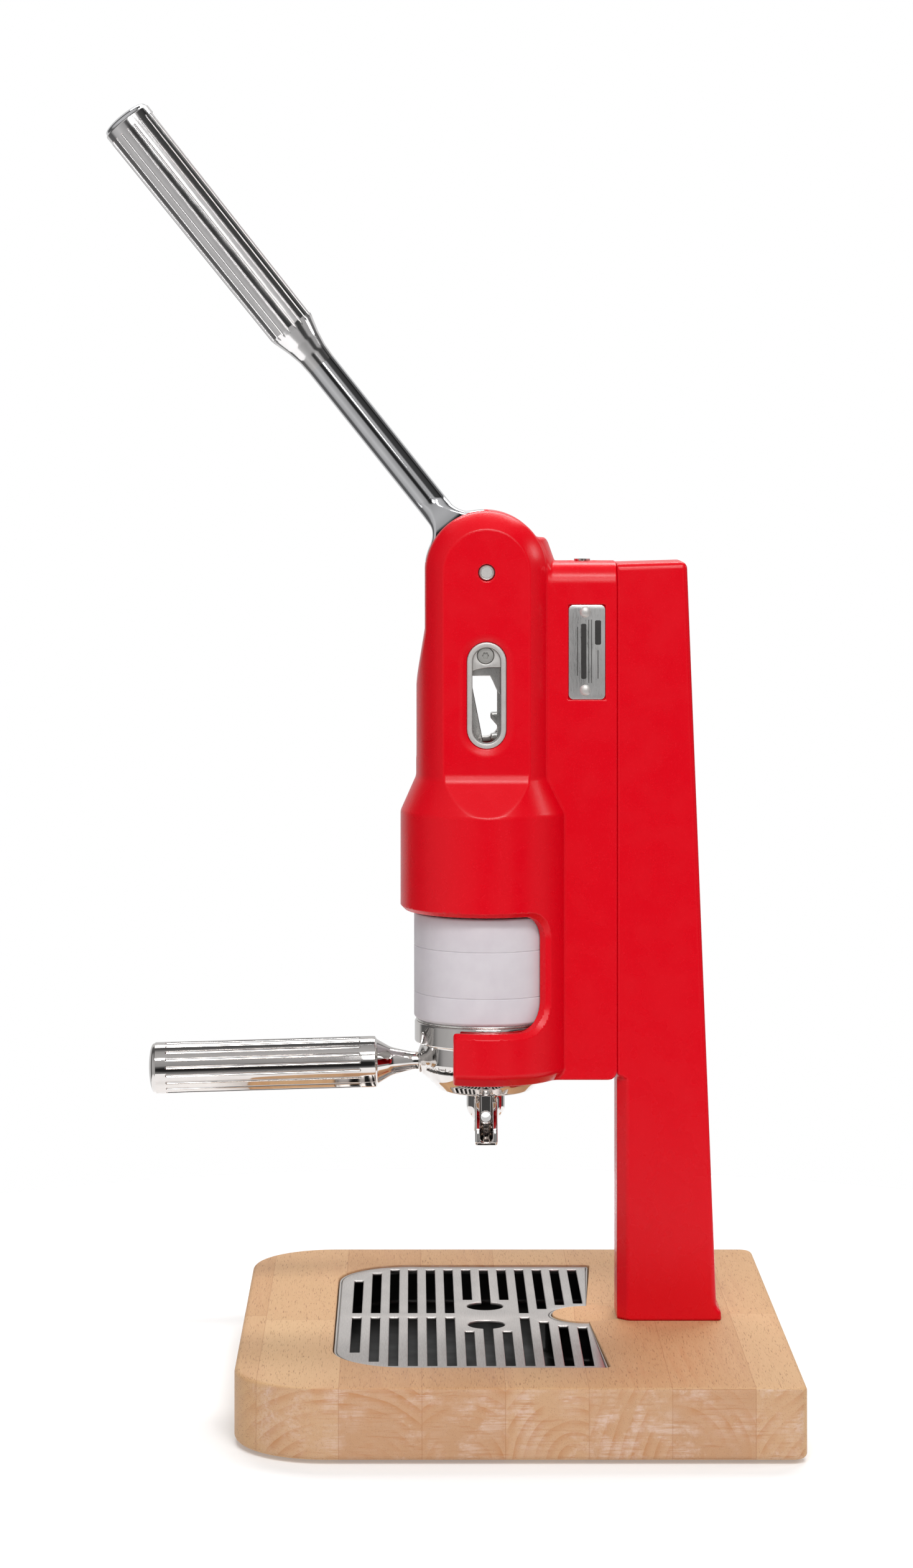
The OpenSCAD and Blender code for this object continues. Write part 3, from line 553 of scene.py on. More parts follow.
def rubberwood():
    """Butcher block of staves along Y. Each has its own tint, pith and growth rings, so that the
    board's ends show ring arcs under saw marks and a pale veil, and its top shows long grain."""
    g = Surface("rubberwood", Specular_IOR_Level=0.3)
    x, y, z = g.axes(g.place)
    sides = g.axes(g.add("TexCoord", {}, "Normal"))
    end_grain = g.spread(g.math("ABSOLUTE", sides[1]), 0.55, 0.8)

    across = g.scaled(x, 1 / (STAVE * MM), STAVE_OFFSET)
    stave = g.math("FLOOR", across)
    chance = g.add("TexWhiteNoise", {"W": stave}, 0, noise_dimensions="1D")
    along = g.plus(g.times(y, 1 / (STAVE_LENGTH * MM)), chance)
    piece = g.math("FLOOR", along)
    seed = g.add("TexWhiteNoise", {"Vector": g.add("CombineXYZ", {0: stave, 1: piece, 2: 3.0})}, 1,
                 noise_dimensions="3D")
    tint, pith_x, pith_z = g.axes(seed)

    wobble = g.noise(34, 3, stretch=(1, 5, 1))
    ripple = g.noise(5, 3, stretch=(1, 7, 1))
    middle = g.plus(stave, 0.5 - STAVE_OFFSET)
    centre_x = g.scaled(middle, STAVE * MM, g.scaled(pith_x, 0.16, -0.08))
    dx = g.minus(x, centre_x)
    dz = g.plus(z, g.scaled(pith_z, 0.05, -0.01))
    lean = g.scaled(y, 0.05, dx)
    radius = g.math("SQRT", g.plus(g.times(lean, lean), g.times(dz, dz)))
    bent = g.scaled(wobble, 0.004, radius)
    bent = g.scaled(ripple, 0.0003, bent)
    ring = g.math("FRACT", g.times(bent, 1 / (RING_WIDTH * MM)))
    late = g.times(g.spread(ring, 0.3, 0.95), g.spread(ring, 1.0, 0.95))
    patch = g.noise(24, 4, stretch=(1, 3, 1))
    late = g.times(late, g.spread(patch, 0.42, 0.62))

    pale = g.mix(tint, srgb(203, 165, 122), srgb(184, 138, 95))
    pale = g.mix(g.spread(patch, 0.35, 0.7, 0, 0.5), pale, srgb(206, 161, 120))
    base = g.mix(g.times(late, 0.34), pale, srgb(176, 122, 76))

    pores = g.noise(0.42, 1, stretch=(1, 14, 1))
    pore = g.spread(pores, 0.62, 0.70)
    base = g.mix(g.times(pore, 0.65), base, srgb(136, 90, 54))
    flecks = g.noise(0.8, 2, stretch=(0.5, 9, 0.5))
    base = g.mix(g.spread(flecks, 0.35, 0.7, 0, 0.15), base, srgb(228, 194, 152))

    saw = g.noise(1.1, 3, stretch=(14, 1, 1), roughness=0.7)
    cloud = g.noise(11, 5, roughness=0.7)
    rosy = g.mix(0.45, base, srgb(184, 146, 120))
    rosy = g.mix(g.times(late, 0.6), rosy, srgb(178, 118, 66))
    chalk = g.noise(30, 3)
    veil = g.times(g.spread(cloud, 0.44, 0.62), g.spread(saw, 0.42, 0.56, 0.1, 0.7))
    veil = g.times(veil, g.spread(chalk, 0.42, 0.60, 0.15, 1.0))
    rough_end = g.mix(veil, rosy, srgb(214, 190, 178))
    cut = g.spread(saw, 0.40, 0.33)
    rough_end = g.mix(g.times(cut, 0.35), rough_end, srgb(176, 118, 76))
    base = g.mix(end_grain, base, rough_end)

    inside = g.math("FRACT", across)
    seam_x = g.minus(0.5, g.math("ABSOLUTE", g.minus(inside, 0.5)))
    end = g.math("FRACT", along)
    seam_y = g.minus(0.5, g.math("ABSOLUTE", g.minus(end, 0.5)))
    seam = g.math("MINIMUM", g.times(seam_x, STAVE), g.times(seam_y, STAVE_LENGTH))
    glue = g.spread(seam, 0.08, 0.28, 1, 0)
    base = g.mix(g.times(glue, 0.4), base, srgb(160, 108, 70))

    height = g.minus(g.times(late, 0.3), g.math("MAXIMUM", pore, glue))
    height = g.scaled(g.times(cut, end_grain), -1.0, height)
    return g.finish(Base_Color=base, Roughness=g.spread(late, 0, 1, 0.56, 0.48),
                    Normal=g.bump(height, 0.03))


def tray_steel():
    """Steel that is bright at the rim. Lower in the tray its colour turns near black: painted
    shade, with faint blotches.
    """
    g = Surface("tray_steel", Metallic=0.8, Specular_IOR_Level=0.1)
    marks = g.noise(0.16, 3, stretch=(40, 1, 1), roughness=0.7)
    blotch = g.noise(16, 3)
    z = g.axes(g.place)[2]
    # painted shade: 2 to 3.2 mm below the rim the colour fades to the near-black floor colours
    painted_shade = g.spread(z, (TRAY_HIGH[2] - 2.0) * MM, (TRAY_HIGH[2] - 3.2) * MM)
    rim = g.mix(marks, (0.60, 0.58, 0.56, 1), (0.46, 0.45, 0.43, 1))
    # the near-black floor colours are painted shade, varied by faint blotches
    floor = g.mix(blotch, (0.006, 0.006, 0.006, 1), (0.022, 0.021, 0.020, 1))
    return g.finish(Base_Color=g.mix(painted_shade, rim, floor), Normal=g.bump(marks, 0.006),
                    Roughness=g.spread(blotch, 0.3, 0.7, 0.30, 0.42))


def satin(name, colour):
    """Metal with a soft even sheen, as on turned ends and screw heads."""
    g = Surface(name, Metallic=0.75)
    grain = g.noise(0.3, 3)
    cloud = g.noise(3, 3)
    base = g.mix(g.spread(grain, 0.3, 0.7), colour, dimmed(colour, 0.86))
    return g.finish(Base_Color=base, Roughness=g.spread(cloud, 0.3, 0.7, 0.46, 0.56),
                    Normal=g.bump(grain, 0.006))


CHROME = polished("polished_chrome", (0.86, 0.86, 0.88, 1), 0.035, dent=0.0015)
WOOD = rubberwood()
RED = powder_coat()
GRILLE_STEEL = brushed("brushed_steel", (0.56, 0.53, 0.51, 1), 0.34, (1, 40, 40))
TRAY_STEEL = tray_steel()
SATIN = satin("satin_steel", (0.62, 0.60, 0.58, 1))
SATIN_SCREW = satin("satin_screw", (0.42, 0.41, 0.39, 1))
# painted shade: a darker, warmer copy of the polished chrome for the portafilter's pieces, which
# share the chrome's finish
SHADED_WARM_CHROME = polished("portafilter_chrome", (0.74, 0.71, 0.69, 1), 0.04, dent=0.0015)
# a rougher copy of the polished chrome for the lever's grip; its lighter, pinker base is painted
# light
LIT_GRIP_METAL = polished("polished_grip", (0.90, 0.88, 0.88, 1), 0.11, 0.05, 0.002)
MACHINED = brushed("machined_steel", (0.64, 0.62, 0.60, 1), 0.24, (1, 1, 12))
BRIGHT = brushed("ground_steel", (0.80, 0.78, 0.75, 1), 0.18, (8, 8, 1))
SCREW_STEEL = polished("screw_steel", (0.62, 0.61, 0.59, 1), 0.16)
BLACK_OXIDE = brushed("black_oxide", (0.09, 0.09, 0.095, 1), 0.30, (1, 1, 1))
BRONZE = brushed("bronze", (0.62, 0.40, 0.17, 1), 0.26, (1, 6, 1))
PLATE_METAL = brushed("satin_aluminium", (0.78, 0.77, 0.76, 1), 0.26, (1, 1, 30))
INK = Surface("black_ink", Roughness=0.5)
INK = INK.finish(Base_Color=INK.mix(INK.noise(1.0), srgb(30, 28, 28), srgb(46, 43, 42)))
RUBBER = rubber()
FROST = frosted_plastic()

FINISH = {
    "rubberwood": WOOD, "rubber": RUBBER, "red_paint": RED, "polished_chrome": CHROME,
    "brushed_steel": GRILLE_STEEL, "machined_steel": MACHINED, "screw_steel": SCREW_STEEL,
    "black_oxide": BLACK_OXIDE, "bronze": BRONZE, "frosted_plastic": FROST,
    "plate_metal": PLATE_METAL,
}


# ---- Housing and column ----

FLAT = 27.0
BAY_ANGLE = math.radians(44.4)
NECK_RADIUS = 34.3
CONE_RUN = 7.7
CONE_RISE = 17.3
BLOCK_HALF = 17.5
BORE_RADIUS = 36.0
RAIL_RADIUS = 35.4
WELL_RADIUS = 31.6
CAVITY_HALF = (22.0, 17.5)
LEVER_SLOT_HALF = 12.0
LEVER_SLOT_RADIUS = 24.5
LEVER_SLOT_MOUTH = 30.7
LABEL_MIDDLE = (49.2, 361.9)
LABEL_HALF = (9.0, 23.15)
COLUMN_HALF = 17.0
COLUMN_TOP = 405.2
COLUMN_LEAN = 0.0394
BOLT_HEIGHTS = (215, 355)


def housing_body(x, y, z):
    """Housing before its openings: cylinder, cone, neck, round head and block."""
    rho = np.hypot(x, y)
    above = np.maximum(z - PIVOT_Z, 0)
    wall = rho - BIG_RADIUS
    lower = round_max(wall, (wall + BOTTOM + 5 - z) * math.sqrt(0.5), 1)
    cone = leaning(wall, z - SHOULDER, CONE_RUN, CONE_RISE)
    neck = np.hypot(rho, above) - NECK_RADIUS
    body = round_min(neck, round_max(lower, cone, 0.4), 0.5)

    flat = np.abs(y) - FLAT
    incline = leaning(flat, z - NECK_START, 0.86, 1)
    body = round_max(body, round_min(flat, incline, 2), 0.35)

    width = NECK_RADIUS + 0.3 - 4.6 * np.clip((z - PIVOT_Z + 56) / 27, 0, 1)
    side = np.hypot(x, above) - width - 14 * smooth_step((NECK_START + 10 - z) / 10)
    body = round_max(body, side, 0.9)

    top = z - PIVOT_Z - 16.5
    ridge = round_max(leaning(rho - 29.9, top, 0.352, 1), top, 1.2)
    ridge = round_max(ridge, round_max(np.abs(y) - 17, 12 - x, 2), 2)
    body = round_min(body, np.maximum(ridge, PIVOT_Z - 10 - z), 1)

    block = round_max(np.abs(y) - BLOCK_HALF, z - BLOCK_TOP, 11)
    block = round_max(block, round_max(x - BLOCK_REAR, BOTTOM - z, 5), 0.8)
    body = round_min(body, np.maximum(block, -x), 0.9)
    return round_max(body, BOTTOM - z, 0.8)


def housing(x, y, z):
    """Housing with its cup bay, bore, cavity, lever slot, windows and seats."""
    rho = np.hypot(x, y)
    body = housing_body(x, y, z)

    past = np.abs(y) * math.cos(BAY_ANGLE) - x * math.sin(BAY_ANGLE)
    bay = np.maximum(round_max(-past, z - BAY_TOP, 12), round_max(-past, ARM_TOP - z, 15))
    body = chamfer_cut(body, bay, 2.3)
    body = cut(body, np.maximum(x + 16.4, z - ARM_TOP - 1), 1.5)

    channel = np.hypot(np.maximum(x, 0), y)
    bore = np.maximum(rho - BORE_RADIUS, slab(z, ARM_TOP - 0.5, SHOULDER + 1))
    rail = np.maximum(channel - RAIL_RADIUS, slab(z, FLANGE_FLOOR, ARM_TOP + 1))
    well = np.maximum(channel - WELL_RADIUS, z - FLANGE_FLOOR - 1)
    body = cut(body, np.minimum(np.minimum(bore, rail), well), 0.5)

    cavity = np.maximum(np.maximum(np.abs(x) - CAVITY_HALF[0], np.abs(y) - CAVITY_HALF[1]),
                        slab(z, SHOULDER, PIVOT_Z - 23))
    pocket = np.maximum(np.maximum(np.abs(x - 24.5) - 3.5, np.abs(y) - 6),
                        slab(z, PIVOT_Z - 74, PIVOT_Z - 38))
    body = cut(body, np.minimum(cavity, pocket), 0.5)

    turn = np.hypot(x, z - PIVOT_Z)
    mouth = np.maximum(turn - LEVER_SLOT_MOUTH, PIVOT_Z - 38 - z)
    open_front = np.maximum(x - 1.6, np.minimum(mouth, PIVOT_Z - 18 - z))
    slot = np.minimum(open_front, turn - LEVER_SLOT_RADIUS)
    slot = np.maximum(slot, np.abs(y) - LEVER_SLOT_HALF)
    body = cut(body, slot, 0.9)

    ring = stadium(x, z - WINDOW_Z, 19.3, 52.1)
    dish = (ring - 3.05) * 0.34 + (FLAT - np.abs(y)) * 0.94
    dish = np.maximum(dish, slab(np.abs(y), FLAT - 1.4, FLAT + 1))
    body = cut(body, dish, 0.5)
    body = cut(body, np.maximum(ring, 17 - np.abs(y)), 0.3)

    pin = np.maximum(turn - 4.1, 11 - np.abs(y))
    label = np.maximum(np.abs(x - LABEL_MIDDLE[0]) - LABEL_HALF[0],
                       np.abs(z - LABEL_MIDDLE[1]) - LABEL_HALF[1])
    label = np.maximum(label, y + BLOCK_HALF - 1)
    seat = np.hypot(x - 47.5, y) - 7.4 - (z - BLOCK_TOP)
    seat = np.maximum(seat, BLOCK_TOP - 2 - z)
    return cut(body, np.minimum(np.minimum(pin, label), seat), 0.5)


def column(x, y, z):
    """Column with a leaning back, a lip at its foot, bevelled front edges and bolt seats."""
    foot = COLUMN_LOW[2]
    front = COLUMN_LOW[0]
    rear = x - (COLUMN_HIGH[0] - 2) + COLUMN_LEAN * (z - foot)
    lip = round_max(x - COLUMN_HIGH[0], z - foot - 5, 2)
    rear = round_min(rear, lip, 3)
    top = z - COLUMN_TOP - (x - front) * 0.03
    half = np.abs(y) - COLUMN_HALF
    body = round_max(round_max(half, rear, 2.5), top, 3.5)
    bevel = (half + front - x + 5) * math.sqrt(0.5) - 7 * smooth_step((z - BOTTOM) / 6)
    body = round_max(body, bevel, 0.8)
    body = round_max(body, front - x, 0.6)
    body = round_max(body, foot - z, 0.4)
    for height in BOLT_HEIGHTS:
        seat = COLUMN_HIGH[0] - 12 - COLUMN_LEAN * (height - foot)
        body = cut(body, np.maximum(np.hypot(y, z - height) - 7, seat - x), 0.8)
    return body


# ---- Lever ----

ROD_RADIUS = 7.4
DRUM_RADIUS = 22.0
SECTOR_RADIUS = 30.2
GRIP_RADIUS = 12.0


def along_lever():
    """Moves a piece made along Z to the lever's axis, with its origin at the pivot."""
    return Matrix.Translation((0, 0, PIVOT_Z)) @ Matrix.Rotation(-LEVER_ANGLE, 4, "Y")


def hub(x, y, z):
    """Drum with the sector that fills the slot. Towards the rod its flat sides turn round."""
    h = z - PIVOT_Z
    turn = np.hypot(x, h)
    u = h * math.cos(LEVER_ANGLE) - x * math.sin(LEVER_ANGLE)
    v = h * math.sin(LEVER_ANGLE) + x * math.cos(LEVER_ANGLE)
    closing = math.radians(7)
    sector = np.maximum(x, -(x * math.sin(closing) + h * math.cos(closing)))
    drum = round_min(turn - DRUM_RADIUS, round_max(turn - SECTOR_RADIUS, sector, 1.5), 2)
    drum = round_min(drum, np.maximum(h - 29.3, np.maximum(x, -v)), 0.8)
    web = np.maximum(np.abs(v) - ROD_RADIUS, 10 - u)
    outline = round_min(drum, web, 6 - 2 * smooth_step(v / 8))
    narrow = smooth_step((u - 29) / 15)
    half = 11 - (11 - ROD_RADIUS) * narrow
    body = round_max(outline, np.abs(y) - half, 2 + (ROD_RADIUS - 2) * narrow)
    body = np.maximum(body, u - 46)

    qx = x - CRANK[0]
    qz = z - CRANK[2]
    travel = math.radians(62)
    swing = np.maximum(qx, qz * math.sin(travel) - qx * math.cos(travel))
    swing = np.maximum(swing - 6.6, np.abs(y) - 2.8)
    body = cut(body, swing, 0.5)
    body = cut(body, turn - 5.5, 0.4)
    return cut(body, np.hypot(qx, qz) - 3.02, 0.3)


def grip(name, base, line, low, high, radius, flutes, material, matrix):
    """A turned grip with flutes. base and line give the radius of the turned shape and of the
    grip's surface at a height; each flute is a round groove that follows line from low to high."""
    pitch = 2 * math.pi / flutes
    spread = [0.0, 0.25, 0.5, 0.72, 0.88, 0.97, 1.0]
    ends = [radius * (1 - math.cos(a)) for a in quarter(5)]
    heights = sorted(set(base(None)) | {low + e for e in ends} | {high - e for e in ends})
    points = []
    for z in heights:
        outside = base(z)
        surface = line(z)
        short = max(low + radius - z, z - high + radius, 0)
        half = math.sqrt(max(radius * radius - short * short, 0))
        offsets = [-s * radius for s in reversed(spread[1:])] + [s * radius for s in spread]
        for i in range(flutes):
            for s in offsets:
                depth = math.sqrt(max(half * half - s * s, 0))
                angle = i * pitch + pitch / 2 + s / surface
                r = min(outside, surface - depth) if depth > 0 else outside
                points.append((r * math.cos(angle), r * math.sin(angle), z))
            for k in (0.33, 0.67):
                gap = pitch - 2 * radius / surface
                angle = i * pitch + pitch / 2 + radius / surface + gap * k
                points.append((outside * math.cos(angle), outside * math.sin(angle), z))
    around = len(points) // len(heights)
    faces = []
    for row in range(len(heights) - 1):
        for i in range(around):
            j = (i + 1) % around
            a, b = row * around, (row + 1) * around
            faces.append((a + i, a + j, b + j, b + i))
    points = [matrix @ Vector(p) for p in points]
    return add_mesh(name, points, faces, material, 32)


def grip_cap(name, end, edge, bevel, bulge, fullness, material, matrix):
    """A grip's end: a narrow bevel that starts at edge, and then a low dome."""
    profile = [(edge, end - 0.05), (GRIP_RADIUS, end + bevel)]
    profile += [(GRIP_RADIUS * math.cos(a), end + bevel + bulge * math.sin(a) ** fullness)
                for a in quarter(13)[1:-1]]
    profile.append((0, end + bevel + bulge))
    return lathe(name, profile, material, matrix, 96, sharp=50)


def turned(corners, radii, spacing=0.5, steps=6):
    """Radius as a function of height, from a filleted path of (radius, height). Called with
    None it lists the heights that the shape needs."""
    path = fillet(corners, radii, steps)
    r = np.array([p[0] for p in path])
    z = np.array([p[1] for p in path])

    def radius(height):
        if height is None:
            heights = []
            for a, b, ra, rb in zip(z, z[1:], r, r[1:]):
                count = max(int((b - a) / spacing), 1) if abs(rb - ra) > 0.02 * (b - a) else 1
                heights += [float(round(a + (b - a) * k / count, 4)) for k in range(count)]
            return heights + [float(round(z[-1], 4))]
        return float(np.interp(height, z, r))
    return radius


def make_lever():
    place(solid("lever_hub_part", hub, (-40, -11, PIVOT_Z - 31), (24, 11, PIVOT_Z + 46), 0.45,
                CHROME), "lever", "polished_chrome", "lever_hub")
    rod = [(ROD_RADIUS, 45.4), (ROD_RADIUS, TRUMPET_START + 0.5)]
    rod = lathe("lever_rod_part", rod, CHROME, along_lever(), 64)
    place(rod, "lever", "polished_chrome", "lever_rod")

    end = LEVER_LENGTH - 3.4
    base = turned([(ROD_RADIUS, TRUMPET_START), (7.8, TRUMPET_START + 7),
                   (9.2, TRUMPET_START + 14), (11.4, GRIP_START - 2.5),
                   (GRIP_RADIUS, GRIP_START), (12.9, end - 0.6), (12.3, end)],
                  [0, 14, 14, 5, 3, 0.8, 0])

    def line(z):
        return GRIP_RADIUS + 0.9 * (z - GRIP_START) / (end - GRIP_START)
    place(grip("lever_grip_part", base, line, GRIP_START - 6, end - 4.6, 0.62, 20, LIT_GRIP_METAL,
               along_lever()), "lever", "polished_chrome", "lever_grip")
    place(grip_cap("lever_cap_part", end, 12.35, 0.6, 2.8, 0.9, CHROME, along_lever()), "lever",
          "polished_chrome", "lever_cap")


# ---- Portafilter, spouts and cup ----

HANDLE_TILT = math.radians(1.7)
HANDLE_START = np.array((-31.0, 0.0, FILTER_HIGH[2] - 20.3))
HANDLE_END = 132.0
GRIP_SHOULDER = 24.9
SPOUT_Z = FILTER_HIGH[2] - 47.2
RIM_TOP = CUP_LOW[2]
CUP_RADIUS = CUP_HIGH[0]
BODY_RADIUS = 31.1
FLANGE_RADIUS = 35.0
FILTER_BORE = 30.2
BASKET_INSIDE = 29.0
BASKET_OUTSIDE = 30.0
BASKET_LIP = 34.3
GROOVE_HEIGHTS = (13.3, 35.9)


def along_handle():
    """Moves a piece made along Z to the portafilter handle's axis, with its origin at the start."""
    turn = Matrix.Rotation(-math.pi / 2 - HANDLE_TILT, 4, "Y")
    return Matrix.Translation(HANDLE_START) @ turn


def portafilter(x, y, z):
    """Round body with its locking flange, the handle's boss and the basket's bore."""
    bottom = FILTER_LOW[2]
    rho = np.hypot(x, y)
    cone = leaning(rho - 21.8, z - bottom, -7.8, 7.5)
    body = round_max(round_max(rho - BODY_RADIUS, cone, 5), bottom - z, 1.2)
    body = np.maximum(body, z - FLANGE_FLOOR - 4)
    rim = round_max(rho - FLANGE_RADIUS, slab(z, FLANGE_FLOOR + 0.2, FLANGE_FLOOR + 10.7), 0.9)
    body = round_min(body, rim, 1.2)
    dx, dz = HANDLE_START[0] - x, HANDLE_START[2] - z
    w = dx * math.cos(HANDLE_TILT) + dz * math.sin(HANDLE_TILT)
    up = dx * math.sin(HANDLE_TILT) - dz * math.cos(HANDLE_TILT)
    boss = round_max(np.hypot(up, y) - 5.4, np.abs(w + 6) - 6.1, 0.5)
    body = round_min(body, boss, 6)
    body = cut(body, np.maximum(rho - FILTER_BORE, bottom + 11 - z), 0.5)
    return cut(body, rho - 4.5, 0.4)


def polygon_distance(points):
    """Signed distance to a closed polygon, as a function of two coordinates."""
    corners = [np.array(p, float) for p in points]

    def distance(a, b):
        best = None
        odd = None
        for p, q in zip(corners, corners[1:] + corners[:1]):
            edge = q - p
            t = np.clip(((a - p[0]) * edge[0] + (b - p[1]) * edge[1]) / (edge @ edge), 0, 1)
            near = np.hypot(a - p[0] - t * edge[0], b - p[1] - t * edge[1])
            best = near if best is None else np.minimum(best, near)
            if edge[1]:
                cross = ((p[1] > b) != (q[1] > b)) & (
                    a < p[0] + (b - p[1]) * edge[0] / edge[1])
                odd = cross if odd is None else odd ^ cross
        return np.where(odd, -best, best)
    return distance


def spout_outline():
    """Side view of one spout: it drops to a lip in front of a rounded wall."""
    tip = SPOUT_Z - 11.8
    corners = [(-30, SPOUT_Z - 3.8), (5, SPOUT_Z - 3.8), (12, tip + 5.2), (18.6, tip),
               (20.6, tip + 1.6), (19.4, tip + 7), (15.0, tip + 14), (11.6, SPOUT_Z + 8.6),
               (8.6, SPOUT_Z + 10.2), (-30, SPOUT_Z + 10.2)]
    return fillet(corners, [0, 6, 6, 0.5, 0.8, 8, 12, 3, 3, 0], 5, closed=True)


SPOUT_SIDE = polygon_distance(spout_outline())


def spouts(x, y, z):
    """Round block from which two open troughs lead outwards and down."""
    top = FILTER_LOW[2]
    middle = SPOUT_Z + 5.6
    rho = np.hypot(x, y)
    out = np.abs(y)
    block = np.hypot(rho, np.minimum(z - middle, 0)) - 9.4
    block = np.maximum(block, z - top + 0.05)
    trough = round_max(np.abs(x) - 5.5, SPOUT_SIDE(out, z), 1.1)
    body = round_min(block, trough, 1.5)
    floor_line = SPOUT_Z - 3.6 - 0.62 * np.maximum(out - 9.5, 0)
    bed = round_max(round_max(np.abs(x) - 3, floor_line - z, 2.2), 6.5 - out, 1)
    body = cut(body, bed, 0.8)
    body = cut(body, np.hypot(x, z - SPOUT_Z) - 2.5, 0.4)
    return cut(body, np.maximum(rho - 3.5, SPOUT_Z - z), 0.3)


def make_portafilter():
    place(solid("portafilter_part", portafilter, FILTER_LOW, FILTER_HIGH, 0.55, SHADED_WARM_CHROME),
          "portafilter", "polished_chrome", "portafilter_body")
    place(solid("twin_spout_part", spouts, SPOUT_LOW, SPOUT_HIGH, 0.35, SHADED_WARM_CHROME),
          "portafilter", "polished_chrome", "twin_spout")

    collar = fillet([(3.2, 0.4), (5.2, 0.4), (5.8, 0.7), (5.8, 1.7), (5.2, 2), (3.2, 2)],
                    [0, 0.4, 0.4, 0.4, 0.4, 0], 3)
    place(lathe("handle_collar_part", collar, SHADED_WARM_CHROME, along_handle(), 64), "portafilter",
          "polished_chrome", "handle_collar")

    shoulder = GRIP_SHOULDER
    radius = 12.6
    base = turned([(3.2, 2.05), (4.2, 2.1), (4.2, shoulder - 20), (6.8, shoulder - 9.5),
                   (11.0, shoulder - 2.4), (12.5, shoulder - 1.6), (radius, shoulder + 0.4),
                   (radius, HANDLE_END - 0.5), (12.2, HANDLE_END)],
                  [0, 0.2, 12, 12, 1.6, 0.4, 0.6, 0.5, 0])
    place(grip("handle_grip_part", base, lambda w: radius, shoulder + 5.5, HANDLE_END - 5.5,
               0.8, 20, SHADED_WARM_CHROME, along_handle()), "portafilter", "polished_chrome",
          "handle_grip")
    place(grip_cap("handle_cap_part", HANDLE_END, 12.2, 0.4, 2.6, 1, SHADED_WARM_CHROME,
                   along_handle()), "portafilter", "polished_chrome", "handle_cap")


def make_basket():
    floor = BASKET_LOW[2]
    top = FILTER_HIGH[2]
    wall = [(0, floor + 1), (BASKET_INSIDE, floor + 1), (BASKET_INSIDE, top + 1.2),
            (BASKET_LIP, top + 1.2), (BASKET_LIP, top), (BASKET_OUTSIDE, top),
            (BASKET_OUTSIDE, floor), (0, floor)]
    path = fillet(wall, [0, 2.5, 0.9, 0.59, 0.59, 0.4, 3.2, 0], 5)
    place(lathe("filter_basket_part", path, BRIGHT), "portafilter", "machined_steel",
          "filter_basket")


def make_cup():
    inner = CUP_RADIUS - 3.7
    top = CUP_HIGH[2]
    wall = [(inner, RIM_TOP + 0.05), (CUP_RADIUS - 1.1, RIM_TOP + 0.05),
            (CUP_RADIUS, RIM_TOP + 1.3)]
    radii = [0.5, 0.5, 1.5]
    for height in GROOVE_HEIGHTS:
        groove = RIM_TOP + height
        wall += [(CUP_RADIUS, groove - 0.35), (CUP_RADIUS - 0.4, groove),
                 (CUP_RADIUS, groove + 0.35)]
        radii += [0.15, 0.1, 0.15]
    wall += [(CUP_RADIUS, top), (inner, top)]
    radii += [1.1, 0.5]
    path = fillet(wall, radii, 4, closed=True)
    place(lathe("cup_sleeve_part", path, FROST, closed=True, segments=160), "portafilter",
          "frosted_plastic", "cup_sleeve")
    low = LINER_LOW[2]
    ring = [(29.2, low), (31.5, low), (31.5, top), (29.2, top)]
    path = fillet(ring, 0.4, 3, closed=True)
    place(lathe("cup_liner_part", path, BRIGHT, closed=True), "portafilter", "machined_steel",
          "cup_liner")


# ---- Board, tray and grille ----

NOTCH_X = 50.3
NOTCH_RADIUS = 18.0
TRAY_FLOOR = TRAY_LOW[2]
TRAY_CORNER = 36.0
DISH_RADIUS = 18.2
DISH_DEPTH = 4.0


def board_outline(inset):
    """Plan of the board, with large corners at the front and small ones at the rear."""
    x0, x1 = BOARD_LOW[0] + inset, BOARD_HIGH[0] - inset
    half = BOARD_HIGH[1] - inset
    front, rear = 43 - inset, 7 - inset
    points = []
    for x, y, r, start in ((x1, half, rear, 0), (x0, half, front, 90), (x0, -half, front, 180),
                           (x1, -half, rear, 270)):
        centre = (x + math.copysign(r, -x), y + math.copysign(r, -y))
        points += arc(centre, r, start, start + 90, 20 if r > 10 else 8)
    return points


def tray_outline(inset):
    """Plan of the tray with the finger notch that the board's tongue fills."""
    x0, x1 = TRAY_LOW[0] + inset, TRAY_HIGH[0] - inset
    half = TRAY_HIGH[1] - inset
    front, rear = TRAY_CORNER - inset, max(2 - inset, 0.4)
    notch = NOTCH_RADIUS + inset
    right = arc((x1 - rear, half - rear), rear, 0, 90, 4)
    right += arc((x0 + front, half - front), front, 90, 180, 18)
    left = [(x, -y) for x, y in reversed(right)]
    return right + left + arc((NOTCH_X, 0), notch, 270, 90, 28)


def pocket_outline(inset):
    x0, x1, half = 62 + inset, 118 - inset, 18 - inset
    return [(x0, -half), (x1, -half), (x1, half), (x0, half)]


def stack(outline, steps):
    """Loops of an outline at each (inset, height)."""
    return [[(x, y, z) for x, y in outline(inset)] for inset, z in steps]


def carve_dish(obj, middle, radius, depth):
    """Cuts a shallow round dish into an object's flat top."""
    ball = (radius * radius + depth * depth) / (2 * depth)
    edge = math.asin(radius / ball) * 1.1
    bowl = [(ball * math.sin(a), ball * (1 - math.cos(a)) - depth)
            for a in np.linspace(0, edge, 16)]
    bowl += [(bowl[-1][0], 6), (0, 6)]
    cutter = lathe("dish_cutter", bowl, WOOD, Matrix.Translation(middle))
    carving = obj.modifiers.new("dish", "BOOLEAN")
    carving.operation = "DIFFERENCE"
    carving.object = cutter
    graph = bpy.context.evaluated_depsgraph_get()
    mesh = bpy.data.meshes.new_from_object(obj.evaluated_get(graph))
    obj.modifiers.clear()
    obj.data = mesh
    bpy.data.objects.remove(cutter)
    mesh.set_sharp_from_angle(angle=math.radians(20))


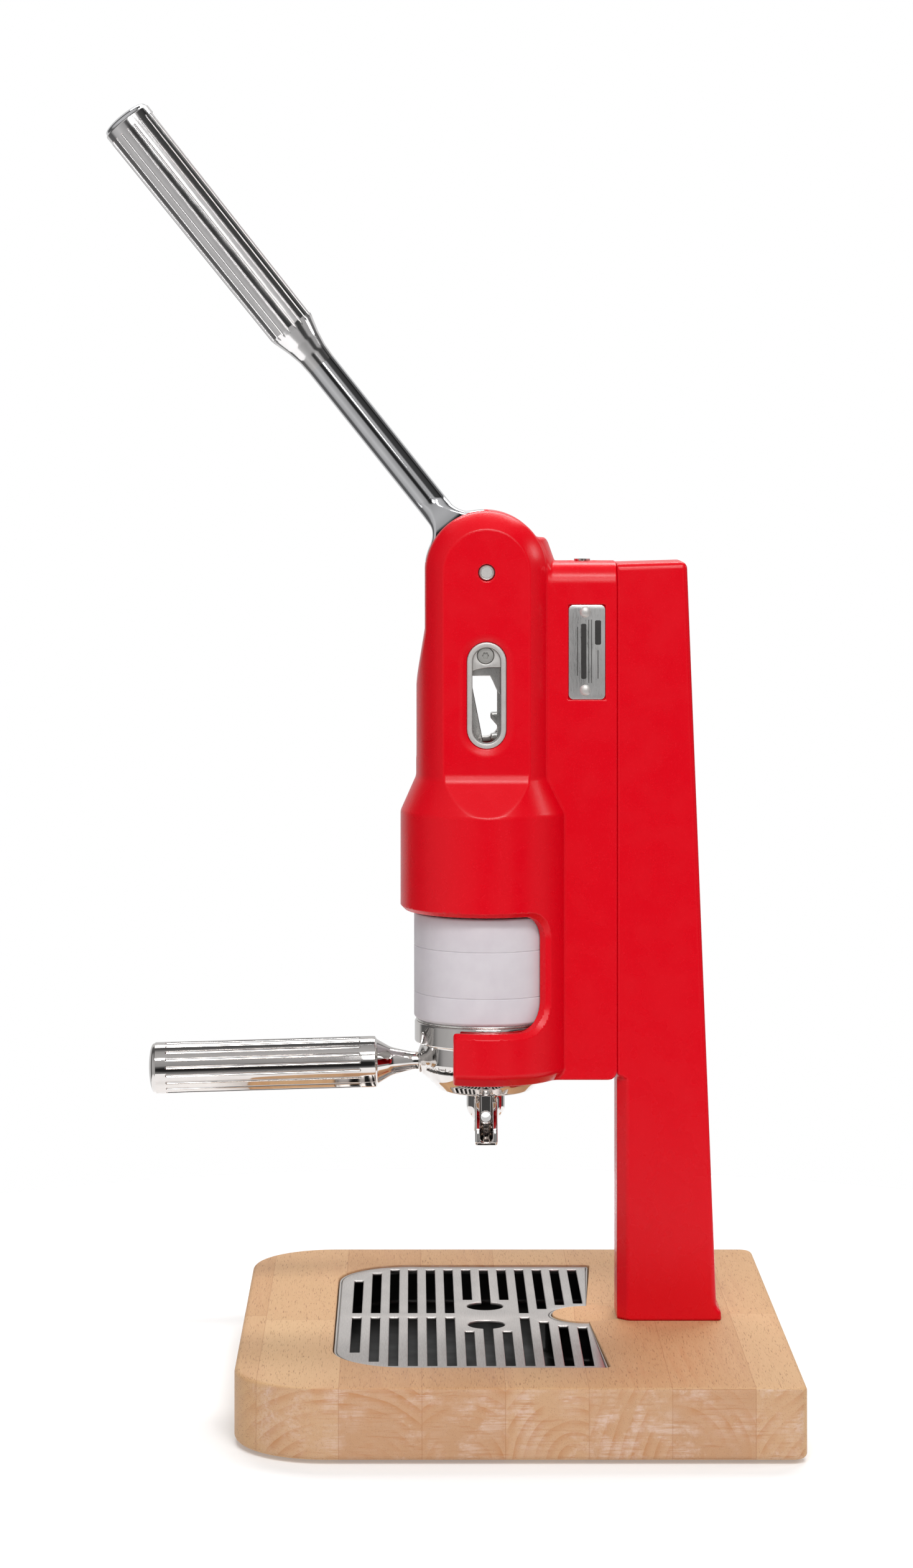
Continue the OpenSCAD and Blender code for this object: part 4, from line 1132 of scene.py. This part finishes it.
def make_board():
    bottom, top = BOARD_LOW[2], BOARD_HIGH[2]
    edge = 0.9
    lip = [(edge * math.cos(t) - edge - 0.5, top - edge + edge * math.sin(t))
           for t in quarter(4)]
    recess = [(-0.5, TRAY_FLOOR - 0.3)] + lip
    walls = [stack(board_outline, rounded_edge(bottom, top, 2.4, 5)),
             stack(tray_outline, recess),
             stack(pocket_outline, [(0, bottom), (0, bottom + 8)])]
    last = len(walls[0]) - 1
    fills = [[(0, last), (1, len(walls[1]) - 1)], [(1, 0)], [(0, 0), (2, 0)], [(2, 1)]]
    board = loops_mesh("board_part", walls, fills, WOOD)
    carve_dish(board, (NOTCH_X, 0, top), DISH_RADIUS, DISH_DEPTH)
    place(board, "base", "rubberwood", "board")


def make_tray():
    rim = TRAY_HIGH[2]
    ledge = rim - 1.6
    outside = [(2.2 * (1 - math.sin(t)), TRAY_FLOOR + 2.2 * (1 - math.cos(t)))
               for t in quarter(5)]
    lip = [(0, rim - 0.3), (0.3, rim), (0.7, rim), (1.0, rim - 0.3), (1.0, ledge),
           (2.6, ledge), (3.0, ledge - 0.4)]
    inside = [(3 + 2.6 * (1 - math.cos(t)), TRAY_FLOOR + 1 + 2.6 * (1 - math.sin(t)))
              for t in quarter(5)]
    wall = stack(tray_outline, outside + lip + inside)
    fills = [[(0, 0)], [(0, len(wall) - 1)]]
    place(loops_mesh("drip_tray_part", [wall], fills, TRAY_STEEL), "drip_tray",
          "brushed_steel", "drip_tray")


SLOTS = 13
SLOT_PITCH = 9.17
FIRST_SLOT = -63.5
SLOT_HALF = 2.3
SLOT_END = 104.5
SHORTER_ENDS = {0: 78, 1: 96}
MIDDLE_RIB_HALF = 4.6
NOTCH_RIB = 8.0
SPOUT_HOLE_Y = 20.0
SPOUT_HOLE = 9.0


def slot_outline(x, y0, y1):
    """A drain slot that grows as its edge rounds over."""
    def outline(inset):
        a, b, c = SLOT_HALF + inset, y0 - inset, y1 + inset
        return fillet([(x - a, b), (x + a, b), (x + a, c), (x - a, c)], 0.7, 3, closed=True)
    return outline


def keyhole_outline(x, side):
    """The slot that runs out of a round hole under a spout."""
    def outline(inset):
        a, r = SLOT_HALF + inset, SPOUT_HOLE + inset
        right = math.degrees(math.acos((x + a) / r))
        left = math.degrees(math.acos((x - a) / r))
        end = SLOT_END + inset
        loop = arc((0, SPOUT_HOLE_Y), r, right, left - 360, 40) + [(x - a, end), (x + a, end)]
        return [(px, side * py) for px, py in loop]
    return outline


def make_grille():
    """Thin plate with a row of slots on each side of its middle rib. The slots keep clear of the
    notch, and those by the spouts' holes start beyond them or run into them."""
    top = GRILLE_HIGH[2]
    low = GRILLE_LOW[2]
    holes = []
    reach = NOTCH_RADIUS + NOTCH_RIB
    for i in range(SLOTS):
        x = FIRST_SLOT + i * SLOT_PITCH
        end = SHORTER_ENDS.get(i, SLOT_END)
        start = max(MIDDLE_RIB_HALF, math.sqrt(max(reach ** 2 - (NOTCH_X - x) ** 2, 0)))
        if abs(x) < 1.5 * SLOT_PITCH:
            start = SPOUT_HOLE_Y + 14
        for side in (1, -1):
            if abs(x) < SLOT_PITCH / 2:
                holes.append(keyhole_outline(x, side))
            else:
                holes.append(slot_outline(x, *sorted((side * start, side * end))))
    obj = plate("drip_grille_part", lambda inset: tray_outline(1.3 + inset), holes, low, top,
                0.55, GRILLE_STEEL)
    place(obj, "drip_grille", "brushed_steel", "drip_grille")


# ---- Window, nameplate and mechanism ----

SCREW_X = -0.5
SCREW_Z = PIVOT_Z - 40.4
TOP_TOOTH = 331.2
TOOTH_PITCH = 10.4
CLAMP_EDGE = 354.9 - WINDOW_Z
BLOCK_EDGE = 350.6 - WINDOW_Z


def from_side(side, x=0.0, z=0.0):
    """Turns a shape drawn in X and Z so that its own height points along side * Y."""
    return Matrix(((1, 0, 0, x), (0, 0, side, 0), (0, 1, 0, z), (0, 0, 0, 1)))


def flat(points, radius, steps=4):
    """An outline function for plate(): a filleted polygon, drawn in by its inset."""
    path = fillet(points, radius, steps, closed=True)
    area = sum(p[0] * q[1] - q[0] * p[1] for p, q in zip(path, path[1:] + path[:1]))

    def outline(inset):
        out = []
        for before, p, after in zip(path[-1:] + path[:-1], path, path[1:] + path[:1]):
            dx, dy = after[0] - before[0], after[1] - before[1]
            scale = math.copysign(inset, area) / math.hypot(dx, dy)
            out.append((p[0] - dy * scale, p[1] + dx * scale))
        return out
    return outline


def oval(width, height, steps=16):
    """An upright slot-shaped outline function with round ends."""
    def outline(inset):
        r, half = width / 2 - inset, (height - width) / 2
        return arc((0, half), r, 0, 180, steps) + arc((0, -half), r, 180, 360, steps)
    return outline


def grown(outline):
    """The same outline for a hole, whose edge grows as the solid draws in."""
    return lambda inset: outline(-inset)


def circle(x, z, radius, steps=40):
    return lambda inset: arc((x, z), radius - inset, 0, 360 * (1 - 1 / steps), steps - 1)


def lobes(x, z, radius, steps=60):
    """Six soft lobes, for a screw's socket."""
    def outline(inset):
        out = []
        for k in range(steps):
            t = 2 * math.pi * k / steps
            r = radius * (0.87 + 0.13 * math.cos(6 * t)) - inset
            out.append((x + r * math.cos(t), z + r * math.sin(t)))
        return out
    return outline


def screw_head(name, radius, low, high, socket, depth, material, matrix, bevel=0.35):
    """A round head from low to high with a six-lobe socket in its top."""
    edge = rounded_edge(low, high, bevel)
    hole = grown(lobes(0, 0, socket))
    walls = [stack(circle(0, 0, radius), edge),
             stack(hole, [(0.02, high), (-0.1, high - 0.12), (-0.1, high - depth)])]
    last = len(edge) - 1
    return loops_mesh(name, walls, [[(0, 0)], [(0, last), (1, 0)], [(1, 2)]], material, matrix)


def make_window():
    """Each side's window: its ring, the clamp plate with its screw and the block behind."""
    depth = SLEEVE_HIGH[1]
    inner = 17.5
    plate_face = FLAT - 2.6
    for side, word in ((-1, "right"), (1, "left")):
        upright = from_side(side, 0, WINDOW_Z)
        ring = plate("window_ring_" + word, oval(19.2, 52), [grown(oval(13.8, 47))], inner,
                     depth + 0.25, 0.55, SATIN, upright)
        place(ring, "base", "machined_steel")

        half = 6.85
        top = 16.6
        edge = arc((0, top), half, 0, 180, 18)
        left = CLAMP_EDGE - 1.8
        bow = [(-half, left), (-4.6, left + 0.75), (-2.2, left + 1.35), (0.5, left + 1.7),
               (3.4, CLAMP_EDGE), (half, CLAMP_EDGE)]
        clamp = plate("window_plate_" + word, flat(edge + bow, 0), [grown(circle(
            SCREW_X, SCREW_Z - WINDOW_Z, 4.2))], plate_face - 2, plate_face, 0.3, SATIN,
            upright)
        place(clamp, "base", "machined_steel")
        low = BLOCK_EDGE
        step = [(-half, low), (1.7, low), (2.9, low - 2.2), (5.6, low - 8.2),
                (half, low - 9.4)]
        radii = [0] * len(edge) + [0, 0, 1.2, 0.6, 0.4]
        block = plate("window_block_" + word, flat(edge + step, radii), [], 8,
                      plate_face - 2.15, 0.4, MACHINED, upright)
        place(block, "base", "machined_steel")
        screw = screw_head("window_screw_" + word, 3.95, plate_face - 1.9, plate_face - 0.25,
                           1.75, 0.9, SATIN_SCREW, from_side(side, SCREW_X, SCREW_Z))
        place(screw, "base", "screw_steel")
    for name, node in (("window_ring_right", "window_sleeves"),
                       ("window_plate_right", "window_plates"),
                       ("window_block_right", "window_blocks"),
                       ("window_screw_right", "window_screws")):
        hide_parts(node)


def make_pivot():
    face = FLAT - 0.6
    half = [(0, face - 0.1), (2.6, face - 0.1), (2.85, face - 0.35), (3.05, face - 0.1),
            (3.3, face), (3.8, face - 0.6)]
    profile = half + [(r, -z) for r, z in reversed(half)]
    pin = lathe("pivot_pin_part", profile, SATIN,
                Matrix.Translation((0, 0, PIVOT_Z)) @ from_side(1), 64, sharp=30)
    place(pin, "base", "screw_steel", "pivot_pin")


def make_nameplate():
    x = (PLATE_LOW[0] + PLATE_HIGH[0]) / 2
    z = (PLATE_LOW[2] + PLATE_HIGH[2]) / 2
    wide, tall = PLATE_HIGH[0] - PLATE_LOW[0], PLATE_HIGH[2] - PLATE_LOW[2]
    face = BLOCK_HALF
    upright = from_side(-1, x, z)

    def card(width, height, radius, cx=0.0, cz=0.0):
        a, b = width / 2, height / 2
        return flat([(cx - a, cz - b), (cx + a, cz - b), (cx + a, cz + b), (cx - a, cz + b)],
                    radius, 5)
    sheet = plate("nameplate_part", card(wide, tall, 2.3), [], face - 0.9, face + 0.05, 0.22,
                  PLATE_METAL, upright)
    place(sheet, "base", "plate_metal", "nameplate")
    bars = [(2.6, 27, -1.6, 0.4), (0.35, 31, 0.9, 0.4), (0.35, 31, 2.2, 0.4),
            (0.35, 24, -4.6, 0.4), (3.0, 12, 5.4, 9.6), (0.35, 14, 5.4, -6.0)]
    for k, (width, height, cx, cz) in enumerate(bars):
        bar = plate(f"nameplate_line_{k + 1}", card(width, height, min(width / 2.1, 0.8), cx, cz),
                    [], face, face + 0.09, 0.02, INK, upright)
        place(bar, "base", "plate_metal")
    for k, height in enumerate((-18.6, 19.6)):
        dome = [(0, 1.1), (0.9, 1.02), (1.7, 0.78), (2.35, 0.4), (2.75, 0.0), (2.75, -0.3)]
        rivet = lathe(f"nameplate_rivet_{k + 1}", dome, SATIN,
                      from_side(-1, x - 0.8, z + height) @ Matrix.Translation((0, 0, face)), 40)
        place(rivet, "base", "plate_metal")
    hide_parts("nameplate_rivets")


def tooth(root, side, top):
    """One ratchet tooth's corners from below, with the radius of each."""
    corners = [(0, top - 6.2, 0.8), (3.3, top - 2.4, 0.7), (3.3, top, 0.9), (0, top, 0.5)]
    return [((root + side * a, b), r) for a, b, r in corners]


def make_rack():
    front, rear = 5.65, 14.3
    bottom, top = box("rack")[0][2], box("rack")[1][2]
    up, down = [], []
    for k in reversed(range(5)):
        up += tooth(rear, 1, TOP_TOOTH - k * TOOTH_PITCH)
        down = tooth(front, -1, TOP_TOOTH - k * TOOTH_PITCH)[::-1] + down
    corners = [((rear, bottom), 0)] + up + [((rear, top), 2), ((front, top), 2)] + down
    corners.append(((front, bottom), 0))
    outline = flat([p for p, r in corners], [r for p, r in corners], 3)
    place(plate("rack_part", outline, [], -5, 5, 0.35, BRIGHT, from_side(1)), "piston",
          "machined_steel", "rack")


def make_pawls():
    x, z = CRANK[0], CRANK[2]
    low = TOP_TOOTH - 4 * TOOTH_PITCH + 0.6
    eye = arc((x, z), 6, -25, 205, 24)
    blade = [(-15, 340), (-9, 302), (-3, low), (1.4, low), (1.4, 304), (-1.35, 317.1),
             (-7.2, 347)]
    outline = flat(eye + blade, [0] * len(eye) + [6, 10, 0.8, 0.5, 3, 6, 12], 4)
    pawl = plate("drive_pawl_part", outline, [grown(circle(x, z, 3.06))], -2.5, 2.5, 0.4,
                 BRIGHT, from_side(1))
    place(pawl, "drive_pawl", "machined_steel", "drive_pawl")

    hinge = joint_place("holding_pawl_hinge")
    turn = Matrix.Rotation(math.radians(-13), 4, "Z")
    eye = arc((0, 0), 5, -33, 213, 24)
    hook = [(-5.7, -14), (-5.7, -19), (-2, -19), (0, -14)]
    outline = flat(eye + hook, [0] * len(eye) + [2, 0.5, 0.5, 2], 4)
    pawl = plate("holding_pawl_part", outline, [grown(circle(0, 0, 2.06))], -4, 4, 0.35,
                 MACHINED, from_side(1, hinge[0], hinge[2]) @ turn)
    place(pawl, "holding_pawl", "machined_steel", "holding_pawl")


def make_springs():
    """Two extension springs between the hanger and the piston."""
    low, high = SPRING_LOW[2], SPRING_HIGH[2]
    centre_x = (SPRING_LOW[0] + SPRING_HIGH[0]) / 2
    wire, coil = 0.5, 2.9
    turns, per_turn, sides = 62, 18, 8
    points, faces = [], []
    for side in (1, -1):
        start = len(points)
        steps = turns * per_turn
        for k in range(steps + 1):
            t = 2 * math.pi * k / per_turn
            out = np.array((math.cos(t), math.sin(t), 0))
            middle = np.array((centre_x, side * 13, low + wire)) + coil * out
            middle[2] += (high - low - 2 * wire) * k / steps
            for s in range(sides):
                a = 2 * math.pi * s / sides
                points.append(middle + wire * (math.cos(a) * out
                                               + math.sin(a) * np.array((0, 0, 1))))
        for k in range(steps):
            for s in range(sides):
                a, b = start + k * sides, start + (k + 1) * sides
                n = (s + 1) % sides
                faces.append((a + s, a + n, b + n, b + s))
        faces.append(tuple(start + s for s in range(sides)))
        faces.append(tuple(start + steps * sides + s for s in reversed(range(sides))))
    springs = add_mesh("return_springs_part", points, faces, SCREW_STEEL, 60)
    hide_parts("return_springs")
    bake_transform(springs)


# ---- Camera, light and floor ----

CAMERA_PLACE = (-0.0365, -1.933, 0.472)
LENS = 90
SHIFT = (0.0286, -0.2278)


def make_camera():
    data = bpy.data.cameras.new("camera")
    data.lens = LENS
    data.sensor_width = 36
    data.shift_x, data.shift_y = SHIFT
    camera = bpy.data.objects.new("camera", data)
    camera.location = CAMERA_PLACE
    camera.rotation_euler = (math.radians(90), 0, 0)
    bpy.context.collection.objects.link(camera)
    bpy.context.scene.camera = camera


def soft_light(name, place_at, target, size, power):
    data = bpy.data.lights.new(name, "AREA")
    data.shape = "RECTANGLE"
    data.size, data.size_y = size
    data.energy = power
    light = bpy.data.objects.new(name, data)
    light.location = place_at
    direction = Vector(target) - Vector(place_at)
    light.rotation_euler = direction.to_track_quat("-Z", "Y").to_euler()
    bpy.context.collection.objects.link(light)


def make_studio():
    """Soft boxes round the object, and a room of soft bands for the metal to mirror. Behind the
    object the sky is plain white."""
    middle = (0, 0, 0.3)
    soft_light("key", (0.20, -1.70, 1.10), middle, (0.6, 0.5), 7)
    soft_light("top front", (0.10, -1.40, 1.75), middle, (1.2, 0.28), 22)
    soft_light("back", (0.1, 0.9, 1.7), middle, (1.6, 0.6), 24)
    soft_light("right", (1.45, 0.15, 0.97), middle, (0.35, 0.35), 3)

    world = bpy.data.worlds.new("studio")
    bpy.context.scene.world = world
    g = Graph(world)
    x, y = g.axes(g.add("TexCoord", {}, "Generated"))[:2]
    depth = g.ramp(y, ((-0.99, 0.02), (-0.95, 0.36), (-0.6, 0.56), (-0.1, 0.42), (0.15, 0.10),
                       (0.60, 0.12), (0.75, 0.66)))
    right = g.ramp(x, ((0.50, 1.0), (0.62, 0.10), (0.80, 0.10), (0.88, 0.8)))
    white = (1, 1, 1, 1)
    shade = g.mix(g.spread(y, 0.3, 0.2), white, right)
    room = g.add("VectorMath", {0: depth, 1: shade}, operation="MULTIPLY")
    seen = g.mix(g.add("LightPath", {}, "Is Camera Ray"), room, white)
    g.feed(g.tree.nodes["Background"], {"Color": seen})
    bpy.context.scene.view_settings.view_transform = "Standard"


def make_floor():
    """A round pale sheet under the object."""
    radius = 560
    points = arc((0, 0), radius, 0, 357, 119)
    paper = Surface("paper", Roughness=0.9, Specular_IOR_Level=0.05, Emission_Strength=0.22,
                  Emission_Color=(1, 1, 1, 1))
    paper = paper.finish(Base_Color=paper.mix(paper.noise(2, 3), (0.79, 0.79, 0.79, 1),
                                              (0.77, 0.77, 0.77, 1)))
    whole = [tuple(range(len(points)))]
    add_mesh("floor", [(x, y, 0) for x, y in points], whole, paper)


# ---- Everything together ----

def make_housing():
    place(solid("housing_part", housing, HOUSING_LOW, HOUSING_HIGH, 0.8, RED), "base",
          "red_paint", "housing")
    place(solid("column_part", column, COLUMN_LOW, COLUMN_HIGH, 1.0, RED), "base", "red_paint",
          "column")


def finish_cad_nodes():
    """The CAD nodes that stay get the finish of their slot."""
    for part in frame["record"]["subparts"]:
        for held in frame["nodes"][part["node"]].material_slots:
            held.material = FINISH[part["material_slot"]]


make_camera()
make_studio()
make_floor()
finish_cad_nodes()
make_housing()
make_lever()
make_portafilter()
make_basket()
make_cup()
make_board()
make_tray()
make_grille()
make_window()
make_pivot()
make_nameplate()
make_rack()
make_pawls()
make_springs()
